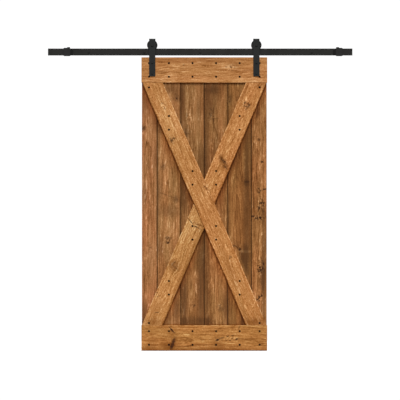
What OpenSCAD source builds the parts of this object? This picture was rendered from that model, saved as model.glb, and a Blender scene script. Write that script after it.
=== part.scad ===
// Sliding barn door: V-jointed planks under two ledger boards and an X brace, hung on two bent strap
// hangers whose grooved wheels roll along a flat bar track that stands off the wall.
// Millimetres. X runs along the track, +Y points into the wall and +Z is up.
// The origin lies on the wall plane, behind the middle of the track.

/* [Door] */
// Width of the door over its ledger boards
door_w = 914.4; // [860:0.1:1000]
// Height of the door
door_h = 2133.6; // [1800:0.1:2400]
// Where the middle of the door rests along the track
door_rest_x = 30; // [-200:1:200]
// Free gap between the track and the top of the door
door_gap = 14; // [8:0.5:30]

/* [Planks] */
// Thickness of the planks
plank_t = 19; // [16:0.5:26]
// Face width of a full plank
plank_face_w = 171.45; // [150:0.05:190]
// How far the planks stop short of the ledger ends
plank_inset = 3; // [0.5:0.5:10]
// Open seam between two planks
seam_gap = 0.6; // [0.2:0.1:1.5]
// Leg of the V chamfer along a seam
vee_leg = 3.5; // [1:0.5:6]
// Chamfer on the planks' other long edges
plank_ease = 1; // [0.5:0.5:3]
// Thickness of the tongue
tongue_t = 6; // [4:0.5:8]
// Length of the tongue
tongue_len = 8; // [5:0.5:12]
// Room round the tongue in its groove
tongue_clear = 0.3; // [0.1:0.1:0.8]

/* [Boards] */
// Thickness of the ledgers and braces
board_t = 19; // [16:0.5:26]
// Width of a ledger board
ledger_w = 184.15; // [140:0.05:240]
// Width of a brace
brace_w = 139.7; // [90:0.1:170]
// Chamfer on the boards' front edges
board_ease = 1.6; // [0.5:0.1:4]
// Joint gap where braces butt on a ledger or on each other
butt_gap = 0.5; // [0.2:0.1:1.5]

/* [Board screws] */
// Radius of a screw head
screw_head_r = 6.4; // [4:0.1:8]
// Height of the head's straight rim
screw_rim_h = 0.6; // [0.3:0.1:1.5]
// Height of the cone under the head
screw_cone_h = 3.8; // [2:0.1:5]
// Radius of the screw's shank
screw_r = 2.1; // [1.5:0.1:3]
// Length of a screw
screw_len = 33; // [28:0.5:36]
// Length of the screw's point
screw_point = 6; // [3:0.5:9]
// Radius at the end of the screw's point
screw_tip_r = 0.4; // [0.2:0.1:1]
// How deep a head is sunk below the board's face
screw_sink = 0.3; // [0.1:0.1:1]
// Room between a screw and its hole
screw_clear = 0.15; // [0.05:0.05:0.4]
// Radius of the square driver recess over its corners
recess_r = 2.4; // [1:0.1:3]
// Depth of the driver recess
recess_depth = 2; // [1:0.1:3]
// Height between the two screws of a pair
screw_pair_pitch = 99; // [70:1:120]
// Distance of the outer screws from the ledger's end
edge_screw_inset = 55; // [40:0.5:70]
// Distance of a brace's top end screw from the top ledger
top_end_inset = 34; // [20:0.5:50]
// Distance of a brace's bottom end screw from the bottom ledger
bottom_end_inset = 16; // [10:0.5:50]
// How far a brace's screw pairs sit below its middle line
brace_pair_drop = 10; // [0:0.5:25]

/* [Track] */
// Length of the track
rail_len = 2216; // [1900:1:2600]
// Height of the track's bar
rail_h = 50.8; // [46:0.1:60]
// Thickness of the track's bar
rail_t = 6.35; // [5:0.05:8]
// Chamfer on the bar's long edges
rail_ease = 0.8; // [0.2:0.1:1.5]
// Distance between two wall fixings
fixing_pitch = 406.4; // [380:0.1:440]
// Length of a stand-off
standoff_len = 35; // [32:0.5:60]
// Chamfer on a stand-off's ends
standoff_ease = 0.8; // [0.2:0.1:1.5]
// Radius of a lag screw's shank
lag_r = 4; // [3.5:0.1:5]
// Depth of a lag screw's thread below its shank's surface
lag_thread_step = 0.4; // [0.3:0.05:0.6]
// Length of a lag screw beyond the wall plane
lag_embed = 55; // [40:1:80]
// Length of a lag screw's point
lag_point = 8; // [5:0.5:12]
// Radius at the end of a lag screw's point
lag_tip_r = 0.8; // [0.4:0.1:1.5]
// Head of a lag screw across its flats
lag_head_af = 13; // [11:0.5:15]
// Height of a lag screw's head
lag_head_h = 5.5; // [4:0.1:7]
// Thickness of a lag washer
lag_washer_t = 1.6; // [1:0.1:2.5]
// How much smaller a lag washer's radius is than a stand-off's
lag_washer_step = 0.5; // [0:0.1:2]
// Room between a lag screw and its holes
lag_clear = 0.25; // [0.1:0.05:0.5]

/* [Wheels] */
// Radius of a wheel over its flanges
wheel_r = 38.1; // [34:0.1:45]
// Width of a wheel
wheel_w = 24; // [20:0.5:32]
// Depth of the groove that straddles the track
flange_depth = 14.1; // [8:0.1:16]
// Room between the track and the groove's sides
groove_clear = 1; // [0.5:0.1:2]
// How much each side of the groove flares out to the rim
groove_flare = 3; // [1:0.1:4]
// Running gap between tread and track
running_gap = 0.3; // [0.2:0.05:0.6]
// Room between a flange and the stand-offs that it passes
flange_clear = 1.3; // [0.8:0.1:3]
// Chamfer on the rim
rim_ease = 1.5; // [0.5:0.1:3]
// Depth of the dish in a wheel's faces
dish_depth = 2; // [0.5:0.1:3]
// Width of the land beside the dish
dish_land = 4; // [2:0.5:6]

/* [Bearings] */
// Outer radius of a ball bearing
bearing_r = 16; // [14:0.1:18]
// Width of a ball bearing
bearing_w = 10; // [8:0.1:12]
// Radial gap between a bearing's rings
ring_gap = 4; // [3:0.1:5]
// Radius of a bearing ball
ball_r = 2.95; // [2.5:0.05:3.3]
// Room between a ball and its races
ball_clear = 0.08; // [0.02:0.01:0.1]
// Number of balls in a bearing
ball_count = 7; // [5:1:9]
// Room between a bearing and its seat
seat_clear = 0.02; // [0.01:0.01:0.1]
// Width of the shoulder that holds the bearing in the wheel
seat_lip = 2; // [1:0.1:3]
// Thickness of the retaining ring
clip_t = 1.2; // [0.8:0.1:1.6]
// Radial width of the retaining ring
clip_w = 2.4; // [1.5:0.1:3]
// Depth of the retaining ring's groove
clip_depth = 0.8; // [0.4:0.1:1.2]
// Room round the retaining ring in its groove
clip_clear = 0.1; // [0.05:0.05:0.2]
// Opening of the retaining ring in degrees
clip_opening = 50; // [20:5:90]

/* [Hangers] */
// Width of a strap
strap_w = 45.5; // [38:0.5:60]
// Thickness of a strap
strap_t = 6; // [4:0.5:8]
// Inner radius of a strap's bends
bend_r = 6; // [3:0.5:8]
// Gap between the wheel and the strap's crown
crown_gap = 2.6; // [2:0.1:8]
// How far a strap reaches down over the door
strap_drop = 138; // [120:1:220]
// Radius of a strap's lower corners
strap_corner_r = 5; // [1:0.5:12]
// Distance of a strap's middle from the door's edge
hanger_inset = 78.5; // [60:0.5:140]
// Radius of an axle bolt
axle_r = 6; // [5:0.1:7]
// Head of an axle bolt across its flats
axle_head_af = 18; // [16:0.5:22]
// Height of an axle bolt's head
axle_head_h = 7.5; // [5:0.1:9]
// Height of an axle nut
axle_nut_h = 7; // [5:0.1:9]
// Radius of an axle washer
axle_washer_r = 12; // [10:0.5:15]
// Thickness of an axle washer
axle_washer_t = 2; // [1:0.1:3]
// Room between the axle and the bores round it
axle_clear = 0.05; // [0.02:0.01:0.1]
// Wall of an axle bush
bush_wall = 2.5; // [1.5:0.1:2.6]
// How far a bush holds the wheel's face off the strap
bush_proud = 3; // [2:0.1:5]
// How far a bolt's end stands out of its nut
bolt_proud = 1.5; // [0.5:0.1:3]

/* [Strap bolts] */
// Radius of a strap bolt
strap_bolt_r = 4; // [3:0.1:5]
// Distance of the upper strap bolt below the door's top
strap_bolt_drop = 38; // [30:1:60]
// Distance between a strap's two bolts
strap_bolt_pitch = 78; // [50:1:90]
// Head of a strap bolt across its flats
strap_head_af = 13; // [11:0.5:16]
// Height of a strap bolt's head
strap_head_h = 5.3; // [4:0.1:7]
// Height of a strap nut
strap_nut_h = 5; // [4:0.1:7]
// Radius of a strap bolt's front washer
strap_washer_r = 8.5; // [7.5:0.1:11]
// Radius of a strap nut's rear washer
rear_washer_r = 12; // [8:0.5:16]
// Thickness of the strap bolts' washers
strap_washer_t = 1.6; // [1:0.1:2.5]
// Room between a strap bolt and its holes
strap_bolt_clear = 0.25; // [0.1:0.05:0.5]
// Room between a strap bolt and its nut
nut_clear = 0.15; // [0.05:0.05:0.3]

/* [Stops] */
// Length of a stop's clamp along the track
stop_len = 48; // [40:1:60]
// Distance of the left clamp's middle from the track's left end
left_stop_inset = 138; // [60:1:200]
// Distance of the right clamp's middle from the track's right end
right_stop_inset = 96; // [60:1:200]
// Wall of a clamp above and below the track
stop_wall = 4; // [3:0.5:7]
// Thickness of a clamp's front plate
stop_plate_t = 8; // [6:0.5:10]
// Thickness of a clamp's rear lips
stop_lip_t = 5; // [3:0.5:7]
// Height of a clamp's rear lips over the track
stop_lip_h = 12; // [6:0.5:16]
// Radius of a clamp's corners
stop_corner_r = 5; // [2:0.5:8]
// Room between a clamp and the track
stop_clear = 0.4; // [0.2:0.1:0.8]
// Radius of a clamp bolt
stop_bolt_r = 6; // [4:0.1:6.5]
// Head of a clamp bolt across its flats
stop_head_af = 21; // [16:0.5:22]
// Height of a clamp bolt's head
stop_head_h = 5.3; // [4:0.1:7]
// Distance of a clamp bolt from its clamp's middle, towards the door
stop_bolt_offset = 12; // [0:0.5:13]
// Room between a clamp bolt and its hole
stop_bolt_clear = 0.15; // [0.05:0.05:0.3]
// Length of a bumper
bumper_len = 20; // [10:0.5:30]
// How far a bumper stays below the track's edges
bumper_drop = 1.4; // [0.5:0.1:4]
// Radius of a bumper's corners
bumper_corner_r = 5; // [1:0.5:10]
// Radius of the pegs that hold a bumper
peg_r = 2; // [1:0.1:3]
// Length of a bumper's pegs
peg_len = 10; // [6:0.5:14]
// Height between a bumper's pegs
peg_pitch = 26; // [16:1:34]
// Room round a peg in its hole
peg_clear = 0.1; // [0.05:0.05:0.3]

/* [Hidden] */
$fn = 64;
// How far a cutting solid runs past what it cuts
overrun = 1;
hex_sides = 6;
square_sides = 4;
// Chamfer on a bolt's end, as a share of its radius
bolt_end_share = 0.2;

// Track and wall fixings
rail_top_z = rail_h / 2;
rail_back_y = -standoff_len;
rail_front_y = rail_back_y - rail_t;
rail_mid_y = rail_back_y - rail_t / 2;
standoff_r = rail_h / 2 - flange_depth - flange_clear;
lag_washer_r = standoff_r - lag_washer_step;
lag_thread_r = lag_r - lag_thread_step;
lag_seat_y = rail_front_y - lag_washer_t;
fixing_xs = [for (i = [-2 : 2]) i * fixing_pitch];

// Wheels and hangers
sides = ["left", "right"];
inward = [1, -1];
tread_r = wheel_r - flange_depth;
axle_z = rail_top_z + running_gap + tread_r;
groove_floor_w = rail_t + 2 * groove_clear;
groove_mouth_w = groove_floor_w + 2 * groove_flare;
strap_gap = wheel_w + 2 * bush_proud;
strap_top_z = axle_z + wheel_r + crown_gap + strap_t;
axle_bore_r = axle_r + axle_clear;
bush_r = axle_bore_r + bush_wall;
bush_len = (strap_gap - bearing_w) / 2;
pitch_r = (bearing_r + axle_bore_r) / 2;
inner_ring_r = pitch_r - ring_gap / 2;
outer_ring_in_r = pitch_r + ring_gap / 2;
race_r = ball_r + ball_clear;
seat_r = bearing_r + seat_clear;
clip_slot = clip_t + 2 * clip_clear;
clip_out_r = seat_r + clip_depth - clip_clear;

// Depths from the front of the door to its back
door_front_y = rail_mid_y - strap_gap / 2;
board_back_y = door_front_y + board_t;
door_back_y = board_back_y + plank_t;
tongue_mid_y = board_back_y + plank_t / 2;
strap_front_y = door_front_y - strap_t;
back_leg_in_y = rail_mid_y + strap_gap / 2;
back_leg_out_y = back_leg_in_y + strap_t;

// Heights of the door
door_top_z = -rail_h / 2 - door_gap;
door_bottom_z = door_top_z - door_h;
top_ledger_z = door_top_z - ledger_w / 2;
bottom_ledger_z = door_bottom_z + ledger_w / 2;
door_mid_z = (door_top_z + door_bottom_z) / 2;
strap_bottom_z = door_top_z - strap_drop;

// Planks across the door
plank_count = 6;
last_plank = plank_count - 1;
planks_w = door_w - 2 * plank_inset;
planks_left_x = door_rest_x - planks_w / 2;
edge_plank_w = (planks_w - (plank_count - 2) * plank_face_w) / 2;
function plank_left(i) = planks_left_x + (i == 0 ? 0 : edge_plank_w + (i - 1) * plank_face_w);
function plank_right(i) = plank_left(i) + (i == 0 || i == last_plank ? edge_plank_w : plank_face_w);
groove_depth = tongue_len - seam_gap + tongue_clear;

// The X brace fills the panel between the ledgers, corner to corner
panel_w = planks_w;
panel_h = door_h - 2 * ledger_w - 2 * butt_gap;
panel_diagonal = norm([panel_w, panel_h]);
brace_angle = acos(brace_w / panel_diagonal) - atan2(panel_h, panel_w);

// Screw places as [x, z] on the door's face
screw_shank_z = screw_rim_h + screw_cone_h;
edge_column = door_w / 2 - edge_screw_inset;
function column_x(i) =
    i == 0 ? door_rest_x - edge_column :
    i == last_plank ? door_rest_x + edge_column :
    (plank_left(i) + plank_right(i)) / 2;
function pair(x, z) = [for (s = [-1, 1]) [x, z + s * screw_pair_pitch / 2]];
function ledger_points(z) = [for (i = [0 : last_plank]) each pair(column_x(i), z)];
function brace_rise(x) = abs(x - door_rest_x) / tan(brace_angle);
function end_rise(up) = panel_h / 2 - (up > 0 ? top_end_inset : bottom_end_inset);
// Screws of one arm of the X: side is -1 or 1 across the door, up is -1 or 1 along its height
function arm_points(side, up) = [
    for (i = side < 0 ? [0, 1, 2] : [5, 4, 3])
        let (x = column_x(i))
        each (i == 0 || i == last_plank
            ? [[x, door_mid_z + up * end_rise(up)]]
            : pair(x, door_mid_z + up * brace_rise(x) - brace_pair_drop))
];
long_brace_points = concat(arm_points(-1, 1), arm_points(1, -1));
top_points = ledger_points(top_ledger_z);
bottom_points = ledger_points(bottom_ledger_z);
brace_points = concat(long_brace_points, arm_points(1, 1), arm_points(-1, -1));
all_screw_points = concat(top_points, bottom_points, brace_points);

// Hangers and strap bolts
hanger_half = door_w / 2 - hanger_inset;
hanger_xs = [for (s = inward) door_rest_x - s * hanger_half];
strap_bolt_points = [
    for (x = hanger_xs)
        for (i = [0, 1])
            [x, door_top_z - strap_bolt_drop - i * strap_bolt_pitch]
];
strap_seat_y = strap_front_y - strap_washer_t;
strap_nut_y = door_back_y + strap_washer_t;
axle_nut_y = back_leg_out_y + axle_washer_t;

// Stops
stop_xs = [-rail_len / 2 + left_stop_inset, rail_len / 2 - right_stop_inset];
function stop_bolt_x(side) = stop_xs[side] + inward[side] * stop_bolt_offset;
function stop_end_x(side) = stop_xs[side] + inward[side] * stop_len / 2;
stop_half_h = rail_h / 2 + stop_clear + stop_wall;
stop_front_y = rail_front_y - stop_clear - stop_plate_t;
stop_back_y = rail_back_y + stop_clear + stop_lip_t;
stop_plate_mid_y = stop_front_y + stop_plate_t / 2;
bumper_half_h = rail_h / 2 - bumper_drop;

wood_board = [0.72, 0.47, 0.25];
wood_plank = [0.50, 0.34, 0.20];
black_steel = [0.16, 0.16, 0.16];
bare_steel = [0.72, 0.73, 0.75];
black_rubber = [0.08, 0.08, 0.08];

// Turns a shape drawn along +Z so that it runs along +Y
module along_y() {
    rotate([-90, 0, 0]) children();
}

// Extrudes an outline drawn in X and Z from y0 back to y1
module plate_xz(y0, y1) {
    translate([0, y1, 0]) rotate([90, 0, 0]) linear_extrude(y1 - y0) children();
}

// Extrudes an outline drawn in Y and Z from x0 to x1
module bar_yz(x0, x1) {
    translate([x0, 0, 0]) rotate([90, 0, 90]) linear_extrude(x1 - x0) children();
}

// Puts a shape that runs along +Y at each [x, z] of the door's face
module at_points(points, y) {
    for (p = points) translate([p.x, y, p.y]) along_y() children();
}

module rounded_rect(x0, x1, y0, y1, r) {
    translate([x0 + r, y0]) square([x1 - x0 - 2 * r, y1 - y0]);
    translate([x0, y0 + r]) square([x1 - x0, y1 - y0 - 2 * r]);
    for (x = [x0 + r, x1 - r], y = [y0 + r, y1 - r]) translate([x, y]) circle(r);
}

// Hexagon prism with its upper corners turned off
module hex_prism(af, h) {
    corner_r = af / 2 / cos(180 / hex_sides);
    turned = (corner_r - af / 2) * tan(30);
    intersection() {
        rotate(30) cylinder(h = h, r = corner_r, $fn = hex_sides);
        rotate_extrude() polygon([[0, 0], [corner_r, 0], [corner_r, h - turned], [af / 2, h], [0, h]]);
    }
}

// Bolt whose head's seat is at zero, with its shank along +Z
module hex_bolt(r, length, af, head_h) {
    ease = r * bolt_end_share;
    mirror([0, 0, 1]) hex_prism(af, head_h);
    rotate_extrude() polygon([[0, 0], [r, 0], [r, length - ease], [r - ease, length], [0, length]]);
}

module hex_nut(r, af, h) {
    difference() {
        hex_prism(af, h);
        translate([0, 0, -overrun]) cylinder(h = h + 2 * overrun, r = r);
    }
}

module tube(r_in, r_out, h) {
    difference() {
        cylinder(h = h, r = r_out);
        translate([0, 0, -overrun]) cylinder(h = h + 2 * overrun, r = r_in);
    }
}

// Door boards

// Section of a plank: a tongue on its right edge, a groove in its left, V chamfers at the seams
module plank_section(i) {
    x0 = plank_left(i) + (i > 0 ? seam_gap / 2 : 0);
    x1 = plank_right(i) - (i < last_plank ? seam_gap / 2 : 0);
    left_leg = i > 0 ? vee_leg : plank_ease;
    right_leg = i < last_plank ? vee_leg : plank_ease;
    difference() {
        union() {
            polygon([
                [x0 + left_leg, board_back_y], [x1 - right_leg, board_back_y], [x1, board_back_y + right_leg],
                [x1, door_back_y - plank_ease], [x1 - plank_ease, door_back_y],
                [x0 + plank_ease, door_back_y], [x0, door_back_y - plank_ease], [x0, board_back_y + left_leg]
            ]);
            if (i < last_plank)
                translate([x1 - overrun, tongue_mid_y - tongue_t / 2])
                    square([tongue_len + overrun, tongue_t]);
        }
        if (i > 0)
            translate([x0 - overrun, tongue_mid_y - tongue_t / 2 - tongue_clear])
                square([groove_depth + overrun, tongue_t + 2 * tongue_clear]);
    }
}

module plank(i) {
    reach = tongue_len + screw_r + strap_bolt_r;
    near = function(p) p.x > plank_left(i) - reach && p.x < plank_right(i) + reach;
    color(wood_plank) difference() {
        translate([0, 0, door_bottom_z]) linear_extrude(door_h) plank_section(i);
        at_points([for (p = all_screw_points) if (near(p)) p], door_front_y + screw_sink) screw_hole();
        at_points([for (p = strap_bolt_points) if (near(p)) p], strap_front_y) strap_bolt_hole();
    }
}

// Section of a ledger or brace as [across, depth], with its two front edges chamfered
function board_outline(width) = [
    [-width / 2 + board_ease, door_front_y], [width / 2 - board_ease, door_front_y],
    [width / 2, door_front_y + board_ease], [width / 2, board_back_y],
    [-width / 2, board_back_y], [-width / 2, door_front_y + board_ease]
];

module ledger(mid_z, points) {
    color(wood_board) difference() {
        intersection() {
            translate([0, 0, mid_z])
                bar_yz(door_rest_x - door_w / 2, door_rest_x + door_w / 2)
                    polygon([for (p = board_outline(ledger_w)) [p.y, p.x]]);
            translate([door_rest_x, 0, mid_z])
                linear_extrude(ledger_w, center = true) polygon(board_outline(door_w));
        }
        at_points(points, door_front_y + screw_sink) screw_hole();
        at_points(strap_bolt_points, strap_front_y) strap_bolt_hole();
    }
}

// Brace stock along one diagonal, cut off at the panel's edges
module brace_stock(angle) {
    intersection() {
        translate([door_rest_x, 0, door_mid_z]) rotate([0, angle, 0])
            linear_extrude(panel_diagonal, center = true) polygon(board_outline(brace_w));
        translate([door_rest_x - panel_w / 2, door_front_y, door_mid_z - panel_h / 2])
            cube([panel_w, board_t, panel_h]);
    }
}

module long_brace() {
    color(wood_board) difference() {
        brace_stock(-brace_angle);
        at_points(long_brace_points, door_front_y + screw_sink) screw_hole();
    }
}

// One half of the other diagonal, butted on the long brace
module half_brace(up) {
    slot_w = brace_w + 2 * butt_gap;
    color(wood_board) difference() {
        intersection() {
            brace_stock(brace_angle);
            translate([door_rest_x - panel_w / 2, door_front_y, door_mid_z - (up > 0 ? 0 : panel_h / 2)])
                cube([panel_w, board_t, panel_h / 2]);
        }
        translate([door_rest_x, door_front_y + board_t / 2, door_mid_z]) rotate([0, -brace_angle, 0])
            cube([slot_w, board_t + 2 * overrun, panel_diagonal], center = true);
        at_points(arm_points(up, up), door_front_y + screw_sink) screw_hole();
    }
}

// Board screws

module screw_body() {
    difference() {
        rotate_extrude() polygon([
            [0, 0], [screw_head_r, 0], [screw_head_r, screw_rim_h], [screw_r, screw_shank_z],
            [screw_r, screw_len - screw_point], [screw_tip_r, screw_len], [0, screw_len]
        ]);
        translate([0, 0, -overrun]) cylinder(h = recess_depth + overrun, r = recess_r, $fn = square_sides);
    }
}

module screw_hole() {
    rotate_extrude() polygon([
        [0, -overrun], [screw_head_r + screw_clear, -overrun], [screw_head_r + screw_clear, screw_rim_h],
        [screw_r + screw_clear, screw_shank_z], [screw_r + screw_clear, screw_len + screw_clear],
        [0, screw_len + screw_clear]
    ]);
}

module board_screws(points) {
    color(black_steel) at_points(points, door_front_y + screw_sink) screw_body();
}

// Hangers

// Outline with square feet and two round upper corners, about the track's middle plane
module arch(half_w, bottom, top, r) {
    translate([rail_mid_y - half_w, bottom]) square([2 * half_w, top - r - bottom]);
    translate([rail_mid_y - half_w + r, bottom]) square([2 * (half_w - r), top - bottom]);
    for (s = [-1, 1]) translate([rail_mid_y + s * (half_w - r), top - r]) circle(r);
}

// Side view of the bent strap: front leg to the door's top, crown, back leg to the axle
module hook_outline() {
    difference() {
        arch(strap_gap / 2 + strap_t, door_top_z, strap_top_z, bend_r + strap_t);
        arch(strap_gap / 2, door_top_z - overrun, strap_top_z - strap_t, bend_r);
        translate([rail_mid_y, door_top_z - overrun]) square([strap_gap, axle_z - door_top_z + overrun]);
    }
}

module strap(side) {
    x = hanger_xs[side];
    left_x = x - strap_w / 2;
    right_x = x + strap_w / 2;
    color(black_steel) difference() {
        union() {
            bar_yz(left_x, right_x) hook_outline();
            plate_xz(strap_front_y, door_front_y)
                rounded_rect(left_x, right_x, strap_bottom_z, axle_z, strap_corner_r);
            translate([x, back_leg_in_y, axle_z]) along_y() cylinder(h = strap_t, r = strap_w / 2);
        }
        translate([x, strap_front_y - overrun, axle_z]) along_y()
            cylinder(h = strap_gap + 2 * strap_t + 2 * overrun, r = axle_bore_r);
        at_points(strap_bolt_points, strap_front_y) strap_bolt_hole();
    }
}

// Hole for a strap bolt through strap, ledger and plank, from the strap's face
module strap_bolt_hole() {
    translate([0, 0, -overrun])
        cylinder(h = door_back_y - strap_front_y + 2 * overrun, r = strap_bolt_r + strap_bolt_clear);
}

module strap_bolts() {
    length = strap_nut_y + strap_nut_h + bolt_proud - strap_seat_y;
    color(black_steel) at_points(strap_bolt_points, strap_seat_y)
        hex_bolt(strap_bolt_r, length, strap_head_af, strap_head_h);
}

module strap_washer_set(y, r) {
    color(black_steel) at_points(strap_bolt_points, y)
        tube(strap_bolt_r + strap_bolt_clear, r, strap_washer_t);
}

module strap_nuts() {
    color(black_steel) at_points(strap_bolt_points, strap_nut_y)
        hex_nut(strap_bolt_r + nut_clear, strap_head_af, strap_nut_h);
}

module axle_bolt(side) {
    length = axle_nut_y + axle_nut_h + bolt_proud - strap_front_y;
    color(black_steel) translate([hanger_xs[side], strap_front_y, axle_z]) along_y()
        hex_bolt(axle_r, length, axle_head_af, axle_head_h);
}

module axle_washer(side) {
    color(black_steel) translate([hanger_xs[side], back_leg_out_y, axle_z]) along_y()
        tube(axle_bore_r, axle_washer_r, axle_washer_t);
}

module axle_nut(side) {
    color(black_steel) translate([hanger_xs[side], axle_nut_y, axle_z]) along_y()
        hex_nut(axle_bore_r, axle_head_af, axle_nut_h);
}

module axle_bushes(side) {
    color(bare_steel)
        for (y = [door_front_y, back_leg_in_y - bush_len])
            translate([hanger_xs[side], y, axle_z]) along_y() tube(axle_bore_r, bush_r, bush_len);
}

// Wheels and bearings, turned about the axle with the front at the low end

module on_axle(side) {
    translate([hanger_xs[side], rail_mid_y, axle_z]) along_y() children();
}

module wheel_outline() {
    half_w = wheel_w / 2;
    lip_r = bearing_r - seat_lip;
    dish_in = seat_r + dish_land;
    dish_out = wheel_r - dish_land;
    difference() {
        polygon([
            [seat_r, -half_w], [wheel_r - rim_ease, -half_w], [wheel_r, -half_w + rim_ease],
            [wheel_r, -groove_mouth_w / 2], [tread_r, -groove_floor_w / 2],
            [tread_r, groove_floor_w / 2], [wheel_r, groove_mouth_w / 2],
            [wheel_r, half_w - rim_ease], [wheel_r - rim_ease, half_w],
            [lip_r, half_w], [lip_r, bearing_w / 2], [seat_r, bearing_w / 2]
        ]);
        translate([dish_in, -half_w - overrun]) square([dish_out - dish_in, dish_depth + overrun]);
        translate([dish_in, half_w - dish_depth]) square([dish_out - dish_in, dish_depth + overrun]);
        translate([seat_r - overrun, -bearing_w / 2 - clip_slot]) square([clip_depth + overrun, clip_slot]);
    }
}

module wheel(side) {
    color(black_steel) on_axle(side) rotate_extrude() wheel_outline();
}

// Bearing ring between two radii, with the balls' race turned into it
module bearing_ring(r_in, r_out) {
    rotate_extrude() difference() {
        translate([r_in, -bearing_w / 2]) square([r_out - r_in, bearing_w]);
        translate([pitch_r, 0]) circle(race_r);
    }
}

module bearing_balls(side) {
    color(bare_steel) on_axle(side)
        for (i = [0 : ball_count - 1])
            rotate(i * 360 / ball_count) translate([pitch_r, 0, 0]) sphere(ball_r);
}

module retaining_ring(side) {
    color(bare_steel) on_axle(side) rotate(clip_opening / 2) rotate_extrude(angle = 360 - clip_opening)
        translate([clip_out_r - clip_w, -bearing_w / 2 - clip_clear - clip_t]) square([clip_w, clip_t]);
}

// Track

module track_rail() {
    half_t = rail_t / 2;
    half_h = rail_h / 2;
    color(black_steel) difference() {
        translate([0, rail_mid_y, 0]) bar_yz(-rail_len / 2, rail_len / 2) polygon([
            [-half_t + rail_ease, -half_h], [half_t - rail_ease, -half_h], [half_t, -half_h + rail_ease],
            [half_t, half_h - rail_ease], [half_t - rail_ease, half_h], [-half_t + rail_ease, half_h],
            [-half_t, half_h - rail_ease], [-half_t, -half_h + rail_ease]
        ]);
        for (x = fixing_xs) translate([x, rail_front_y - overrun, 0]) along_y()
            cylinder(h = rail_t + 2 * overrun, r = lag_r + lag_clear);
    }
}

module standoff(x) {
    bore_r = lag_r + lag_clear;
    color(black_steel) translate([x, rail_back_y, 0]) along_y() rotate_extrude() polygon([
        [bore_r, 0], [standoff_r - standoff_ease, 0], [standoff_r, standoff_ease],
        [standoff_r, standoff_len - standoff_ease], [standoff_r - standoff_ease, standoff_len],
        [bore_r, standoff_len]
    ]);
}

module lag_washers() {
    color(black_steel) for (x = fixing_xs) translate([x, lag_seat_y, 0]) along_y()
        tube(lag_r + lag_clear, lag_washer_r, lag_washer_t);
}

// Plain shank through the track and stand-off, and a thread of its own radius beyond the wall plane
module lag_screws() {
    shank_end = -lag_seat_y;
    color(black_steel) for (x = fixing_xs) translate([x, lag_seat_y, 0]) along_y() {
        mirror([0, 0, 1]) hex_prism(lag_head_af, lag_head_h);
        rotate_extrude() polygon([
            [0, 0], [lag_r, 0], [lag_r, shank_end], [lag_thread_r, shank_end],
            [lag_thread_r, shank_end + lag_embed - lag_point], [lag_tip_r, shank_end + lag_embed],
            [0, shank_end + lag_embed]
        ]);
    }
}

// Stops

module stop_clamp(side) {
    x0 = stop_xs[side] - stop_len / 2;
    x1 = stop_xs[side] + stop_len / 2;
    slot_half_h = rail_h / 2 + stop_clear;
    mouth_half_h = rail_h / 2 - stop_lip_h;
    color(black_steel) difference() {
        plate_xz(stop_front_y, stop_back_y) rounded_rect(x0, x1, -stop_half_h, stop_half_h, stop_corner_r);
        translate([x0 - overrun, rail_front_y - stop_clear, -slot_half_h])
            cube([stop_len + 2 * overrun, rail_t + 2 * stop_clear, 2 * slot_half_h]);
        translate([x0 - overrun, rail_back_y, -mouth_half_h])
            cube([stop_len + 2 * overrun, stop_clear + stop_lip_t + overrun, 2 * mouth_half_h]);
        translate([stop_bolt_x(side), rail_mid_y, rail_top_z])
            cylinder(h = stop_clear + stop_wall + overrun, r = stop_bolt_r + stop_bolt_clear);
        bumper_pegs(side, peg_r + peg_clear, peg_len + peg_clear);
    }
}

module stop_bolt(side) {
    color(black_steel) translate([stop_bolt_x(side), rail_mid_y, stop_half_h]) mirror([0, 0, 1])
        hex_bolt(stop_bolt_r, stop_half_h - rail_top_z, stop_head_af, stop_head_h);
}

// Pegs that run from a clamp's inner end into its front plate
module bumper_pegs(side, r, length) {
    for (s = [-1, 1])
        translate([stop_end_x(side), stop_plate_mid_y, s * peg_pitch / 2])
            rotate([0, -90 * inward[side], 0])
                translate([0, 0, -overrun]) cylinder(h = length + overrun, r = r);
}

module stop_bumper(side) {
    end_x = stop_end_x(side);
    nose_x = end_x + inward[side] * bumper_len;
    root_x = end_x - inward[side] * bumper_corner_r;
    low_x = min(root_x, nose_x);
    high_x = max(root_x, nose_x);
    color(black_rubber) {
        difference() {
            plate_xz(stop_front_y, rail_front_y - stop_clear)
                rounded_rect(low_x, high_x, -bumper_half_h, bumper_half_h, bumper_corner_r);
            translate([stop_xs[side] - stop_len / 2, stop_front_y - overrun, -stop_half_h])
                cube([stop_len, stop_plate_t + 2 * overrun, 2 * stop_half_h]);
        }
        bumper_pegs(side, peg_r, peg_len);
    }
}

for (i = [1 : plank_count])
    plank(i - 1);
ledger(top_ledger_z, top_points);  // top_ledger
ledger(bottom_ledger_z, bottom_points);  // bottom_ledger
long_brace();
half_brace(1);  // upper_half_brace
half_brace(-1);  // lower_half_brace
board_screws(top_points);  // top_ledger_screws
board_screws(bottom_points);  // bottom_ledger_screws
board_screws(brace_points);  // brace_screws
strap_bolts();
strap_washer_set(strap_seat_y, strap_washer_r);  // strap_washers
strap_washer_set(door_back_y, rear_washer_r);  // strap_rear_washers
strap_nuts();
for (side = [0, 1]) {
    strap(side);
    axle_bolt(side);
    axle_washer(side);
    axle_nut(side);
    axle_bushes(side);
    color(bare_steel) on_axle(side) bearing_ring(axle_bore_r, inner_ring_r);
    color(bare_steel) on_axle(side) bearing_ring(outer_ring_in_r, bearing_r);
    bearing_balls(side);
    retaining_ring(side);
    wheel(side);
    stop_clamp(side);
    stop_bolt(side);
    stop_bumper(side);
}
track_rail();
for (i = [1 : len(fixing_xs)])
    standoff(fixing_xs[i - 1]);
lag_washers();
lag_screws();
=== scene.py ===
"""Looks of the sliding barn door: stained pine boards, black ironwork, studio light and camera."""
import math

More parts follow.
